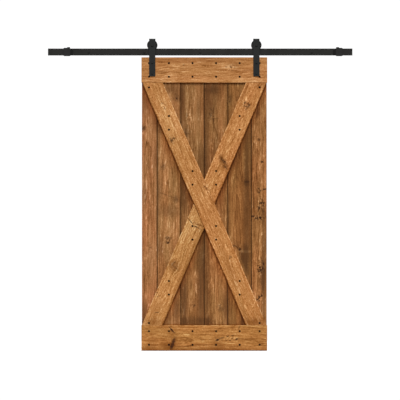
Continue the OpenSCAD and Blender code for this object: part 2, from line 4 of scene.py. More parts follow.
import bpy
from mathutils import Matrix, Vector


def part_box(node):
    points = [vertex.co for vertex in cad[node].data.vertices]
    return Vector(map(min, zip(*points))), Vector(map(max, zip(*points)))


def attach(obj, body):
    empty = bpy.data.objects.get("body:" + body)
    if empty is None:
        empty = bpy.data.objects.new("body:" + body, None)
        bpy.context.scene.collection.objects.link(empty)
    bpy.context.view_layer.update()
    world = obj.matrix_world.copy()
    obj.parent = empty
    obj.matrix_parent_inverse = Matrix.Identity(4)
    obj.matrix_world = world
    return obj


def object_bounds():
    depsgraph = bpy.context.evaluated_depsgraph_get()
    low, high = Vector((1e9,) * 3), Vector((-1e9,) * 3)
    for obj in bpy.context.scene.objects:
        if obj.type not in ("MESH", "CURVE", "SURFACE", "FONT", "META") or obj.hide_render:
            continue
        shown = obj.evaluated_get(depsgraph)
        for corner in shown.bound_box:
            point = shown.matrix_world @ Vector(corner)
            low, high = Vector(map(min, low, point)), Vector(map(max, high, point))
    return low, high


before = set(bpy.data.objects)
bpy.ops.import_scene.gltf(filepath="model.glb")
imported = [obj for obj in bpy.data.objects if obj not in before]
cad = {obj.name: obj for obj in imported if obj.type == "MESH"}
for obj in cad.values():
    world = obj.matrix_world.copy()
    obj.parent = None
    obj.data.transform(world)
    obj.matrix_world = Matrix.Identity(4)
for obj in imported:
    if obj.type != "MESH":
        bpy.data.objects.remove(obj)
cad_low, cad_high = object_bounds()

MM = 0.001
RIGHT_ANGLE = math.radians(90.0)
LEDGER_WIDTH = 184.15 * MM
BRACE_WIDTH = 139.7 * MM
PLANK_COUNT = 6
STANDOFF_COUNT = 5
SIDES = ("left", "right")
SCREW_NODES = ("top_ledger_screws", "bottom_ledger_screws", "brace_screws")
# Coated nodes of the whole door and of each side, and each side's bright steel
COATED_NODES = (
    "strap_bolts", "strap_washers", "strap_rear_washers", "strap_nuts", "lag_washers", "lag_screws")
COATED_PIECES = ("wheel", "axle_bolt", "axle_washer", "axle_nut", "stop_clamp", "stop_bolt")
STEEL_PIECES = ("axle_bushes", "bearing_inner_ring", "bearing_outer_ring", "bearing_balls", "retaining_ring")
# Points of a mesh closer than this are one point
JOIN = 0.01 * MM

# Camera: square on to the door, with a long lens and its view in metres
LENS_MM = 200.0
SENSOR_MM = 36.0
VIEW_WIDTH = 2.9092
VIEW_CENTRE_X = -0.0013
VIEW_CENTRE_Z = -1.0773
CLIP_END = 100.0

# Light, with angles in degrees: a soft key from high in front, dim surroundings and a white backdrop
KEY_STRENGTH = 3.3
KEY_ANGLE = 30.0
KEY_RISE = 40.0
FRONT_STRENGTH = 0.40
FRONT_COLOUR = (1.0, 0.92, 0.82, 1.0)
BACKDROP_STRENGTH = 1.06
# Where the surroundings turn from front to backdrop, along +Y
BACKDROP_TURN = (-0.15, 0.35)
# How much brighter than its base colour a face lit from the front shows
SCENE_GAIN = 1.30

# Floor, in metres, just below the door
FLOOR_GAP = 0.002
FLOOR_SIZE = (4.4, 2.2)
FLOOR_SHADE = 0.90
FLOOR_ROUGHNESS = 0.9
FLOOR_GLOW = 0.30

WHITE = (1.0, 1.0, 1.0, 1.0)
# Tone in the middle of a material's colours, which run from 0 to 1
MIDDLE_TONE = 0.5


def linear(level):
    """One sRGB level from 0 to 255 as a linear value, by the standard's own curve."""
    share = level / 255.0
    if share <= 0.04045:
        return share / 12.92
    return ((share + 0.055) / 1.055) ** 2.4


def shown(red, green, blue):
    """Base colour that shows as these sRGB levels on a face lit from the front."""
    return tuple(linear(level) / SCENE_GAIN for level in (red, green, blue)) + (1.0,)


def tint(colour, shade):
    """The same colour with each channel scaled."""
    return tuple(part * scale for part, scale in zip(colour, shade)) + (1.0,)


class Graph:
    """Short calls for building a node tree."""

    # A Mix node's colour sockets share their names with others, so they go by number
    MIX_SHARE, MIX_FIRST, MIX_SECOND, MIX_RESULT = 0, 6, 7, 2

    def __init__(self, tree):
        self.tree = tree

    def feed(self, socket, value):
        """Links a socket into another, or sets it to a plain value."""
        if isinstance(value, bpy.types.NodeSocket):
            self.tree.links.new(value, socket)
        else:
            socket.default_value = value

    def add(self, kind, inputs=None, **settings):
        made = self.tree.nodes.new(kind)
        for key, value in settings.items():
            setattr(made, key, value)
        for key, value in (inputs or {}).items():
            self.feed(made.inputs[key], value)
        return made

    def math(self, operation, a, b=0.0, c=0.0):
        return self.add("ShaderNodeMath", {0: a, 1: b, 2: c}, operation=operation).outputs[0]

    def vector(self, operation, a, b=(0.0, 0.0, 0.0)):
        made = self.add("ShaderNodeVectorMath", {0: a, 1: b}, operation=operation)
        return made.outputs["Value" if operation in ("LENGTH", "DISTANCE") else "Vector"]

    def parts(self, point):
        """The three coordinates of a point."""
        return self.add("ShaderNodeSeparateXYZ", {0: point}).outputs

    def noise(self, point, scale, detail=2.0, roughness=0.5):
        """Noise about 0.5, at point stretched by scale, which is three numbers or one for all sides."""
        if isinstance(scale, float):
            scale = (scale, scale, scale)
        at = self.vector("MULTIPLY", point, scale)
        inputs = {"Vector": at, "Scale": 1.0, "Detail": detail, "Roughness": roughness}
        return self.add("ShaderNodeTexNoise", inputs).outputs[0]

    def centred(self, field):
        """A field about 0.5, moved to lie about 0."""
        return self.math("SUBTRACT", field, 0.5)

    def ease(self, value, low, high):
        """Smooth step from 0 at low to 1 at high."""
        inputs = {"Value": value, "From Min": low, "From Max": high}
        return self.add("ShaderNodeMapRange", inputs, interpolation_type="SMOOTHSTEP").outputs[0]

    def fade(self, value, low, high):
        """Smooth step from 1 at low to 0 at high."""
        return self.math("SUBTRACT", 1.0, self.ease(value, low, high))

    def mix(self, share, first, second, blend="MIX"):
        made = self.add("ShaderNodeMix", data_type="RGBA", blend_type=blend, clamp_factor=True)
        self.feed(made.inputs[self.MIX_SHARE], share)
        self.feed(made.inputs[self.MIX_FIRST], first)
        self.feed(made.inputs[self.MIX_SECOND], second)
        return made.outputs[self.MIX_RESULT]

    def ramp(self, value, stops):
        made = self.add("ShaderNodeValToRGB", {"Fac": value})
        elements = made.color_ramp.elements
        for index, (place, colour) in enumerate(stops):
            element = elements[index] if index < len(elements) else elements.new(place)
            element.position = place
            element.color = colour
        return made.outputs["Color"]

    def bump(self, shader, height, strength, depth):
        """Gives a shader relief of this depth, in metres."""
        made = self.add("ShaderNodeBump", {"Strength": strength, "Distance": depth, "Height": height})
        self.feed(shader.inputs["Normal"], made.outputs[0])


def new_material(name):
    material = bpy.data.materials.new(name)
    material.use_nodes = True
    graph = Graph(material.node_tree)
    shader = material.node_tree.nodes["Principled BSDF"]
    return material, graph, shader


# Boards: where each one lies and which way its grain runs

def middle_of(node):
    low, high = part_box(node)
    return (low + high) / 2


def brace_lean():
    """Lean of the braces from upright, from the long brace's box and width."""
    low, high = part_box("long_brace")
    wide = high.x - low.x
    tall = high.z - low.z
    return math.acos(BRACE_WIDTH / math.hypot(wide, tall)) - math.atan2(tall, wide)


class Board:
    """A board's own frame about a point on its middle line: across its width, depth, along its grain."""

    def __init__(self, turn, width, middle):
        self.centre = middle
        self.turn = turn
        self.width = width

    def local(self, x, z):
        """Place across and along the board of a point of the door's face."""
        dx = x - self.centre.x
        dz = z - self.centre.z
        across = dx * math.cos(self.turn) - dz * math.sin(self.turn)
        along = dx * math.sin(self.turn) + dz * math.cos(self.turn)
        return across, along


# Blemishes: knots, splits, stains, light patches and burrs

# In shares of a knot's size: where its rim runs, and where the rim and the pit fade
RIM_LINE = 0.85
RIM_FADE = (0.05, 0.36)
PIT_FADE = (0.22, 0.7)
# Levels of noise between which the rim is torn, and how fast the bend of the grain dies away
RIM_TEAR = (-0.12, 0.1)
BEND_DECAY = -0.3
# Noise that makes outlines ragged, and the speckle that breaks a burr into pits and flecks
RAG_SCALE = 110.0
RAG_DETAIL = 2.0
RAG_ROUGHNESS = 0.6
RAG_MIDDLE = (0.5, 0.5, 0.5)
BURR_SCALE = (78.0, 78.0, 60.0)
BURR_DETAIL = 1.0
BURR_PITS = (0.54, 0.64)
BURR_FLECKS = (0.46, 0.34)


def mark_group():
    """Node group of one blemish: a ragged ellipse that also bends the grain round it."""
    tree = bpy.data.node_groups.new("blemish", "ShaderNodeTree")
    face = tree.interface
    for name in ("Point", "Rag", "Centre", "Size"):
        face.new_socket(name, in_out="INPUT", socket_type="NodeSocketVector")
    for name in ("Angle", "Edge", "Bend", "Warp"):
        face.new_socket(name, in_out="INPUT", socket_type="NodeSocketFloat")
    for name in ("Mask", "Shift", "Ring", "Pit"):
        face.new_socket(name, in_out="OUTPUT", socket_type="NodeSocketFloat")
    g = Graph(tree)
    given = g.add("NodeGroupInput").outputs
    inputs = {0: given["Rag"], "Scale": given["Warp"]}
    warped = g.add("ShaderNodeVectorMath", inputs, operation="SCALE").outputs[0]
    away = g.vector("SUBTRACT", given["Point"], given["Centre"])
    inputs = {"Vector": g.vector("ADD", away, warped), "Angle": given["Angle"]}
    turned = g.add("ShaderNodeVectorRotate", inputs, rotation_type="Y_AXIS").outputs[0]
    reach = g.vector("LENGTH", g.vector("DIVIDE", turned, given["Size"]))
    inner = g.math("SUBTRACT", 1.0, given["Edge"])
    mask = g.fade(reach, inner, g.math("ADD", 1.0, given["Edge"]))
    decay = g.math("MULTIPLY", g.math("MULTIPLY", reach, reach), BEND_DECAY)
    bent = g.math("MULTIPLY", g.parts(away)[0], g.math("EXPONENT", decay))
    shift = g.math("MULTIPLY", bent, given["Bend"])
    off_rim = g.math("ABSOLUTE", g.math("SUBTRACT", reach, RIM_LINE))
    torn = g.ease(g.parts(given["Rag"])[1], *RIM_TEAR)
    ring = g.math("MULTIPLY", g.fade(off_rim, *RIM_FADE), torn)
    pit = g.fade(reach, *PIT_FADE)
    result = g.add("NodeGroupOutput")
    for name, value in (("Mask", mask), ("Shift", shift), ("Ring", ring), ("Pit", pit)):
        g.feed(result.inputs[name], value)
    return tree


BLEMISH = mark_group()


def blemish(x, z, half_width, half_length, angle, edge, stray, bend=0.0, **layers):
    """A mark at x and z in millimetres of the door's face, with its strength in each layer.

    Its long side leans by angle, in degrees from upright. Edge is how soft its outline is and stray how far
    that wanders, in shares of the mark's size. Bend is how far it pushes the grain aside."""
    size = (half_width, half_length)
    warp = min(size) * stray
    return dict(x=x, z=z, size=size, angle=angle, edge=edge, warp=warp, bend=bend, layers=layers)


def knot(x, z, radius, dark=0.8, stretch=1.25, pit=0.7):
    """A broken dark rim round a core with a pit, which stretches along the board's grain."""
    deep = pit * dark
    return blemish(x, z, radius, radius * stretch, 0.0, edge=0.5, stray=1.5, bend=0.9, knot=dark, pit=deep)


def crack(x, z, half_length, half_width, angle, dark=0.9):
    """A dark split."""
    return blemish(x, z, half_width, half_length, angle, edge=0.6, stray=2.4, split=dark)


def stain(x, z, half_length, half_width, dark=0.5, angle=0.0):
    """A soft dark patch."""
    return blemish(x, z, half_width, half_length, angle, edge=0.85, stray=1.3, stain=dark)


def pale(x, z, half_length, half_width, light=0.5, angle=0.0):
    """A soft light patch."""
    return blemish(x, z, half_width, half_length, angle, edge=0.8, stray=2.0, pale=light)


def burr(x, z, half_length, half_width, dark, light, angle=0.0):
    """A broken patch of small dark pits and light flecks, as round a loose knot."""
    return blemish(x, z, half_width, half_length, angle, edge=0.6, stray=0.8, pits=dark, flecks=light)


def place_mark(g, board, local, rag, mark):
    """The node of one blemish, at its place on a board. Knots lie along the grain, others as they lean."""
    across, along = board.local(mark["x"] * MM, mark["z"] * MM)
    half_width, half_length = mark["size"]
    node = g.add("ShaderNodeGroup", {"Point": local, "Rag": rag}, node_tree=BLEMISH)
    node.inputs["Centre"].default_value = (across, 0.0, along)
    node.inputs["Size"].default_value = (half_width * MM, 1.0, half_length * MM)
    if "knot" not in mark["layers"]:
        node.inputs["Angle"].default_value = board.turn - math.radians(mark["angle"])
    node.inputs["Edge"].default_value = mark["edge"]
    node.inputs["Bend"].default_value = mark["bend"]
    node.inputs["Warp"].default_value = mark["warp"] * MM
    return node.outputs


def lay_marks(g, board, local, marks):
    """Adds up a board's blemishes: one layer a kind, the knots' rims and the grain's shift."""
    inputs = {"Vector": local, "Scale": RAG_SCALE, "Detail": RAG_DETAIL, "Roughness": RAG_ROUGHNESS}
    rag = g.add("ShaderNodeTexNoise", inputs).outputs["Color"]
    rag = g.vector("SUBTRACT", rag, RAG_MIDDLE)
    speckle = g.noise(local, BURR_SCALE, BURR_DETAIL)
    speckles = {"pits": g.ease(speckle, *BURR_PITS), "flecks": g.ease(speckle, *BURR_FLECKS)}
    total = dict.fromkeys(("knot", "split", "stain", "pale", "rim", "shift"), 0.0)

    def lay(layer, share, strength):
        total[layer] = g.math("MULTIPLY_ADD", share, strength, total[layer])

    for mark in marks:
        made = place_mark(g, board, local, rag, mark)
        strength = mark["layers"]
        for layer in ("knot", "split", "stain", "pale"):
            if layer in strength:
                lay(layer, made["Mask"], strength[layer])
        for kind, layer in (("pits", "split"), ("flecks", "pale")):
            if kind in strength:
                lay(layer, g.math("MULTIPLY", made["Mask"], speckles[kind]), strength[kind])
        if "knot" in strength:
            total["shift"] = g.math("ADD", total["shift"], made["Shift"])
            lay("rim", made["Ring"], strength["knot"])
            lay("rim", made["Pit"], strength["pit"])
    return total


# Pine

# Noise fields of the wood: whether each follows the grain, its octaves and its roughness
FIELDS = {
    "hue": (False, 2.0, 0.5), "patch": (False, 3.0, 0.55), "band": (True, 2.0, 0.5),
    "streak": (True, 2.0, 0.55), "thread": (True, 2.0, 0.5), "fleck": (True, 3.0, 0.6),
    "grit": (True, 3.0, 0.6), "fibre": (True, 3.0, 0.6), "glint": (True, 1.0, 0.5)}
# How far apart in the noise two boards lie whose seeds differ by one
SEED_STEP = (1.37, 0.71, 3.11)
# Levels of the fields between which strands, glints, warm wood and the flecks of the painted edge highlight
# set in
STRAND_LEVELS = (0.36, 0.64)
GLINT_LEVELS = (0.60, 0.74)
GLINT_PATCH = (0.44, 0.60)
WARM_LEVELS = (0.36, 0.64)
LIT_EDGE_FLECKS = (0.36, 0.6)
# Growth rings: how the pith wanders, how streaks shake the rings, how sharp late wood and fine lines are,
# how much rings differ, and how many fine lines a broad ring has
PITH_SCALE = (2.0, 2.0, 1.6)
RING_SHAKE = 0.6
LATE_SHARP = 2.4
LATE_LEAST = 0.35
LATE_SPREAD = 0.9
FINE_RINGS = 4.0
FINE_SHARP = 3.0
# Mean level of late wood and fine lines
LINE_MEAN = 0.25
# Mottling is weak between the strands and strong on them
MOTTLE_LEAST = 0.35
MOTTLE_GAIN = 1.3
# Bands of painted highlight and painted shade along a board's edges: where they begin and are full
LIT_EDGE_BAND = (9 * MM, 2 * MM)
SHADED_EDGE_BAND = (8 * MM, 3 * MM)

# Dark stain: its share on the back, how streaks break it up, and the most of it
BACK_STAIN = 0.3
STREAK_LEAST = 0.4
STREAK_GAIN = 1.2
STAIN_LIMIT = 0.88
# Dirt beside a plank's seams, which reaches further on its left side, and in their V joints
GRIME = 0.42
GRIME_START = 3 * MM
GRIME_LEFT = 26 * MM
GRIME_RIGHT = 14 * MM
GRIME_LEVELS = (0.30, 0.62)
JOINT_BAND = (1.2 * MM, 4.2 * MM)
JOINT_DARK = 0.8
JOINT_SHADE = shown(20, 11, 5)
# Painted shade on the planks in the corners beside the boards: a wide and a near band
CORNER_INSIDE = -5 * MM
CORNER_START = 6 * MM
CORNER_REACH = 62 * MM
CORNER_TIGHT = 12 * MM
CORNER_SHADE_WIDE = (0.80, 0.64, 0.46, 1.0)
CORNER_SHADE_NEAR = (0.85, 0.60, 0.24, 1.0)
# Knots and splits
CORE_SHARE = 0.5
CORE_LIMIT = 0.8
DARK_LIMIT = 0.97
# Iron stain round the screws
RUST_BAND = (6.0 * MM, 9.2 * MM)
RUST_DARK = 0.95
RUST_SHADE = shown(22, 16, 11)
# Skin of the wood
WOOD_SPECULAR = 0.1
WOOD_ROUGHNESS = 0.66
FIBRE_ROUGHNESS = 0.5
LATE_ROUGHNESS = -0.08
MOST_ROUGHNESS = 0.9
LATE_HEIGHT = 0.35
FIBRE_HEIGHT = 0.6
THREAD_HEIGHT = 0.5
DARK_HEIGHT = -1.2
RELIEF_STRENGTH = 0.5
RELIEF_DEPTH = 0.8 * MM


def grain_fields(g, local, look, seed, shift):
    """The board's noise fields, in grain that sways along it and is pushed aside by knots."""
    seeded = g.vector("ADD", local, tuple(seed * step for step in SEED_STEP))
    sway = g.centred(g.noise(seeded, look["sway_scale"]))
    push = g.math("MULTIPLY_ADD", sway, look["sway"], g.math("MULTIPLY", shift, -1.0))
    flow = g.vector("ADD", seeded, g.add("ShaderNodeCombineXYZ", {0: push}).outputs[0])
    field = {"seeded": seeded, "flow": flow}
    for name, (follows, octaves, roughness) in FIELDS.items():
        point = flow if follows else seeded
        field[name] = g.noise(point, look[name + "_scale"], octaves, roughness)
    field["strand"] = g.ease(field["fibre"], *STRAND_LEVELS)
    bright = g.ease(field["glint"], *GLINT_LEVELS)
    field["glint"] = g.math("MULTIPLY", bright, g.ease(field["patch"], *GLINT_PATCH))
    return field


def growth_rings(g, field, spot, look, seed):
    """Late wood and fine lines of shells round a pith that lies behind the board and leans along it."""
    off_pith = g.math("SUBTRACT", g.parts(field["flow"])[0], seed * SEED_STEP[0] + look["pith_across"])
    wander = g.math("MULTIPLY", g.centred(g.noise(field["seeded"], PITH_SCALE)), look["pith_sway"])
    deep = g.math("MULTIPLY_ADD", spot[2], look["taper"], look["pith_deep"])
    deep = g.math("ADD", g.math("ADD", deep, wander), spot[1])
    square = g.math("ADD", g.math("MULTIPLY", off_pith, off_pith), g.math("MULTIPLY", deep, deep))
    shells = g.math("DIVIDE", g.math("SQRT", square), look["ring"])
    shells = g.math("MULTIPLY_ADD", g.centred(field["streak"]), RING_SHAKE, shells)
    inputs = {"W": g.math("FLOOR", shells)}
    chance = g.add("ShaderNodeTexWhiteNoise", inputs, noise_dimensions="1D").outputs["Value"]
    late = g.math("POWER", g.math("FRACT", shells), LATE_SHARP)
    late = g.math("MULTIPLY", late, g.math("MULTIPLY_ADD", chance, LATE_SPREAD, LATE_LEAST))
    fine = g.math("POWER", g.math("FRACT", g.math("MULTIPLY", shells, FINE_RINGS)), FINE_SHARP)
    return late, fine


def wood_tone(g, field, late, fine, light, look):
    """Tone of the wood: mottling that the fibres break up, broad fields, lines and light patches."""
    tone = 0.0
    for name in ("thread", "fleck", "grit"):
        tone = g.math("MULTIPLY_ADD", g.centred(field[name]), look[name], tone)
    strands = g.math("MULTIPLY_ADD", field["strand"], MOTTLE_GAIN, MOTTLE_LEAST)
    tone = g.math("MULTIPLY_ADD", tone, strands, MIDDLE_TONE)
    for name, amount in (("band", "band"), ("streak", "streak"), ("strand", "fibre"), ("patch", "patch")):
        tone = g.math("MULTIPLY_ADD", g.centred(field[name]), look[amount], tone)
    for line, amount in ((late, -look["late"]), (fine, -look["fine"])):
        tone = g.math("MULTIPLY_ADD", g.math("SUBTRACT", line, LINE_MEAN), amount, tone)
    for patch, amount in ((field["glint"], look["glint"]), (light, look["pale"])):
        tone = g.math("MULTIPLY_ADD", patch, amount, tone)
    return tone


def painted_edge_light(g, board, spot, fleck, tone, look, upper):
    """Painted highlight, broken into flecks, along the edge that faces up, and painted shade along the other
    one.
    """
    half = board.width / 2
    side = g.math("MULTIPLY", spot[0], upper)
    lit_edge = g.ease(side, half - LIT_EDGE_BAND[0], half - LIT_EDGE_BAND[1])
    lit_edge = g.math("MULTIPLY", lit_edge, g.ease(fleck, *LIT_EDGE_FLECKS))
    tone = g.math("MULTIPLY_ADD", lit_edge, look["lit_edge"], tone)
    shaded_edge = g.ease(g.math("MULTIPLY", side, -1.0), half - SHADED_EDGE_BAND[0], half - SHADED_EDGE_BAND[1])
    return g.math("MULTIPLY_ADD", shaded_edge, -look["shaded_edge"], tone)


def seam_dirt(g, board, spot, field, stained, seams):
    """Shares of dark stain, to which the dirt beside the seams adds, and of dirt in their V joints."""
    joint = 0.0
    for side, reach in seams:
        edge = g.math("MULTIPLY_ADD", spot[0], -side, board.width / 2)
        grime = g.math("MULTIPLY", g.fade(edge, GRIME_START, reach), g.ease(field["band"], *GRIME_LEVELS))
        stained = g.math("MULTIPLY_ADD", grime, GRIME, stained)
        joint = g.math("ADD", joint, g.fade(edge, *JOINT_BAND))
    streaks = g.math("MULTIPLY_ADD", field["streak"], STREAK_GAIN, STREAK_LEAST)
    return g.math("MULTIPLY", stained, streaks), joint


def painted_corner_shade(g, here):
    """Painted shade on the planks under the braces and beside the ledgers: a wide and a near share."""
    spot = g.parts(here)
    middle = middle_of("long_brace")
    lean = brace_lean()
    level = g.math("MULTIPLY", g.math("SUBTRACT", spot[0], middle.x), math.cos(lean))
    rise = g.math("MULTIPLY", g.math("SUBTRACT", spot[2], middle.z), math.sin(lean))
    under_long = g.math("MULTIPLY", g.math("ADD", level, rise), -1.0)
    under_half = g.math("SUBTRACT", level, rise)
    wide = 0.0
    near = 0.0
    for reach in (under_long, under_half):
        away = g.math("SUBTRACT", reach, BRACE_WIDTH / 2)
        inside = g.math("GREATER_THAN", away, CORNER_INSIDE)
        broad = g.fade(away, CORNER_START, CORNER_REACH)
        tight = g.fade(away, 0.0, CORNER_TIGHT)
        wide = g.math("MAXIMUM", wide, g.math("MULTIPLY", broad, inside))
        near = g.math("MAXIMUM", near, g.math("MULTIPLY", tight, inside))
    above = g.math("SUBTRACT", spot[2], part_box("bottom_ledger")[1].z)
    below = g.math("SUBTRACT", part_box("top_ledger")[0].z, spot[2])
    for away in (above, below):
        near = g.math("MAXIMUM", near, g.fade(away, 0.0, CORNER_TIGHT))
    return wide, near


def screw_rust(g, board, local, screws):
    """Share of iron stain round the nearest of a board's screws."""
    flat = g.vector("MULTIPLY", local, (1.0, 0.0, 1.0))
    near = 1.0
    for x, z in screws:
        across, along = board.local(x, z)
        near = g.math("MINIMUM", near, g.vector("DISTANCE", flat, (across, 0.0, along)))
    return g.math("MULTIPLY", g.fade(near, *RUST_BAND), RUST_DARK)


def wood_skin(g, shader, field, late, dark):
    """Roughness and relief of the wood's skin."""
    rough = g.math("MULTIPLY_ADD", g.centred(field["fibre"]), FIBRE_ROUGHNESS, WOOD_ROUGHNESS)
    rough = g.math("MULTIPLY_ADD", late, LATE_ROUGHNESS, rough)
    g.feed(shader.inputs["Roughness"], g.math("MINIMUM", rough, MOST_ROUGHNESS))
    shader.inputs["Specular IOR Level"].default_value = WOOD_SPECULAR
    height = g.math("MULTIPLY_ADD", late, LATE_HEIGHT, g.math("MULTIPLY", field["fibre"], FIBRE_HEIGHT))
    height = g.math("MULTIPLY_ADD", field["thread"], THREAD_HEIGHT, height)
    height = g.math("MULTIPLY_ADD", dark, DARK_HEIGHT, height)
    g.bump(shader, height, RELIEF_STRENGTH, RELIEF_DEPTH)


def wood(name, board, look, marks, seed, shade, upper=0, seams=(), screws=()):
    """Stained pine whose grain runs along the board and bends round its knots.

    Upper is the side of the board that faces up, which gets a painted highlight while the other edge gets
    painted shade, or 0 where no edge is painted. Seams are a plank's joints to its neighbours, each with its
    side and the reach of its dirt;
    planks with seams also get painted shade in their corners. Screws are the places of the board's screws."""
    material, g, shader = new_material(name)
    here = g.add("ShaderNodeTexCoord").outputs["Object"]
    inputs = {"Vector": here, "Location": board.centre, "Rotation": (0.0, board.turn, 0.0)}
    local = g.add("ShaderNodeMapping", inputs, vector_type="TEXTURE").outputs[0]
    spot = g.parts(local)
    layers = lay_marks(g, board, local, marks)
    field = grain_fields(g, local, look, seed, layers["shift"])
    late, fine = growth_rings(g, field, spot, look, seed)

    tone = wood_tone(g, field, late, fine, layers["pale"], look)
    # Painted highlight on the board's upper edge and painted shade on its lower edge
    if upper:
        tone = painted_edge_light(g, board, spot, field["fleck"], tone, look, upper)
    colour = g.ramp(tone, [(place, tint(paint, shade)) for place, paint in look["stops"]])
    hue = g.ramp(g.ease(field["hue"], *WARM_LEVELS), [(0.0, look["olive"]), (1.0, look["russet"])])
    colour = g.mix(1.0, colour, hue, "MULTIPLY")

    front = g.math("LESS_THAN", spot[1], 0.0)
    share = g.math("MULTIPLY_ADD", front, 1.0 - BACK_STAIN, BACK_STAIN)
    stained = g.math("MULTIPLY", layers["stain"], share)
    stained, joint = seam_dirt(g, board, spot, field, stained, seams)
    colour = g.mix(g.math("MINIMUM", stained, STAIN_LIMIT), colour, look["stain"])
    if seams:
        # Painted shade on the planks beside the braces and ledgers, then the dark of the V joints
        wide, near = painted_corner_shade(g, here)
        colour = g.mix(g.math("MULTIPLY", wide, front), colour, CORNER_SHADE_WIDE, "MULTIPLY")
        colour = g.mix(g.math("MULTIPLY", near, front), colour, CORNER_SHADE_NEAR, "MULTIPLY")
        colour = g.mix(g.math("MULTIPLY", joint, JOINT_DARK), colour, JOINT_SHADE)

    core = g.math("MULTIPLY", layers["knot"], CORE_SHARE)
    colour = g.mix(g.math("MINIMUM", core, CORE_LIMIT), colour, look["knot"])
    dark = g.math("MINIMUM", g.math("ADD", layers["rim"], layers["split"]), DARK_LIMIT)
    colour = g.mix(dark, colour, look["split"])
    if screws:
        colour = g.mix(screw_rust(g, board, local, screws), colour, RUST_SHADE)
    g.feed(shader.inputs["Base Color"], colour)
    wood_skin(g, shader, field, late, dark)
    return material


# Looks of the pine: colours, sway of the grain, rings in metres, each field's scale and part in the tone

PINE_LOOK = dict(
    pith_sway=0.06, patch_scale=(9.0, 9.0, 5.0), fibre_scale=(620.0, 620.0, 16.0),
    fibre=0.16, fine=0.16, pale=0.42)

# The boards across the planks
BOARD_LOOK = dict(
    PINE_LOOK,
    stops=[
        (0.00, shown(98, 52, 14)), (0.25, shown(146, 91, 37)), (0.50, shown(183, 126, 72)),
        (0.75, shown(210, 154, 98)), (1.00, shown(242, 197, 145))],
    stain=shown(108, 58, 4), knot=shown(110, 58, 8), split=shown(40, 13, 0),
    olive=(0.99, 1.01, 0.98, 1.0), russet=(1.02, 0.98, 0.96, 1.0),
    sway=0.045, sway_scale=(6.0, 6.0, 3.2),
    ring=15.0 * MM, pith_across=0.02, pith_deep=0.05, taper=0.02,
    hue_scale=(14.0, 14.0, 1.6), band_scale=(22.0, 22.0, 1.6), streak_scale=(60.0, 60.0, 5.0),
    thread_scale=(110.0, 110.0, 13.0), fleck_scale=(115.0, 115.0, 40.0),
    glint_scale=(110.0, 110.0, 16.0), grit_scale=(150.0, 150.0, 95.0),
    band=0.24, streak=0.20, thread=0.52, fleck=0.66, grit=1.10, patch=0.12, late=0.14, glint=0.30,
    # Strengths of the painted highlight on a board's upper edge and of the painted shade on its lower edge
    lit_edge=0.32, shaded_edge=0.42)

LEDGER_LOOK = dict(
    BOARD_LOOK,
    thread_scale=(115.0, 115.0, 7.0), fleck_scale=(125.0, 125.0, 22.0), streak_scale=(60.0, 60.0, 3.0),
    streak=0.34, thread=0.80, fleck=0.64, grit=0.78)

PLANK_LOOK = dict(
    PINE_LOOK,
    stops=[
        (0.00, shown(60, 33, 11)), (0.25, shown(112, 69, 27)), (0.50, shown(150, 101, 55)),
        (0.75, shown(183, 131, 80)), (1.00, shown(222, 176, 126))],
    stain=shown(78, 46, 17), knot=shown(80, 42, 6), split=shown(36, 13, 0),
    olive=(0.98, 1.02, 1.01, 1.0), russet=(1.04, 0.96, 0.93, 1.0),
    sway=0.040, sway_scale=(5.0, 5.0, 2.2),
    ring=16.0 * MM, pith_across=-0.01, pith_deep=0.06, taper=0.015,
    hue_scale=(12.0, 12.0, 2.2), band_scale=(14.0, 14.0, 1.6), streak_scale=(50.0, 50.0, 3.0),
    thread_scale=(100.0, 100.0, 6.0), fleck_scale=(110.0, 110.0, 26.0),
    glint_scale=(110.0, 110.0, 20.0), grit_scale=(150.0, 150.0, 90.0),
    band=0.42, streak=0.36, thread=0.42, fleck=0.36, grit=0.55, patch=0.34, late=0.16, glint=0.34)

# Edges of the planks' faces from left to right, in millimetres
PLANK_EDGES = (-424.2, -312.9, -141.45, 30.0, 201.45, 372.9, 484.2)
# How much each board's red, green and blue differ from its look
PLANK_SHADES = (
    (1.12, 1.08, 1.28), (1.08, 1.14, 1.27), (0.90, 0.91, 0.94),
    (0.88, 0.86, 0.84), (0.84, 0.82, 0.72), (1.00, 0.97, 0.97))
BOARD_SHADES = {
    "top_ledger": (1.00, 0.98, 1.01), "bottom_ledger": (0.73, 0.69, 0.54), "long_brace": (0.97, 0.95, 0.91),
    "upper_half_brace": (1.03, 0.98, 0.94), "lower_half_brace": (0.88, 0.90, 0.85)}
# Seeds of the boards across the planks, past the planks' own, begin here
BOARD_SEED = 11
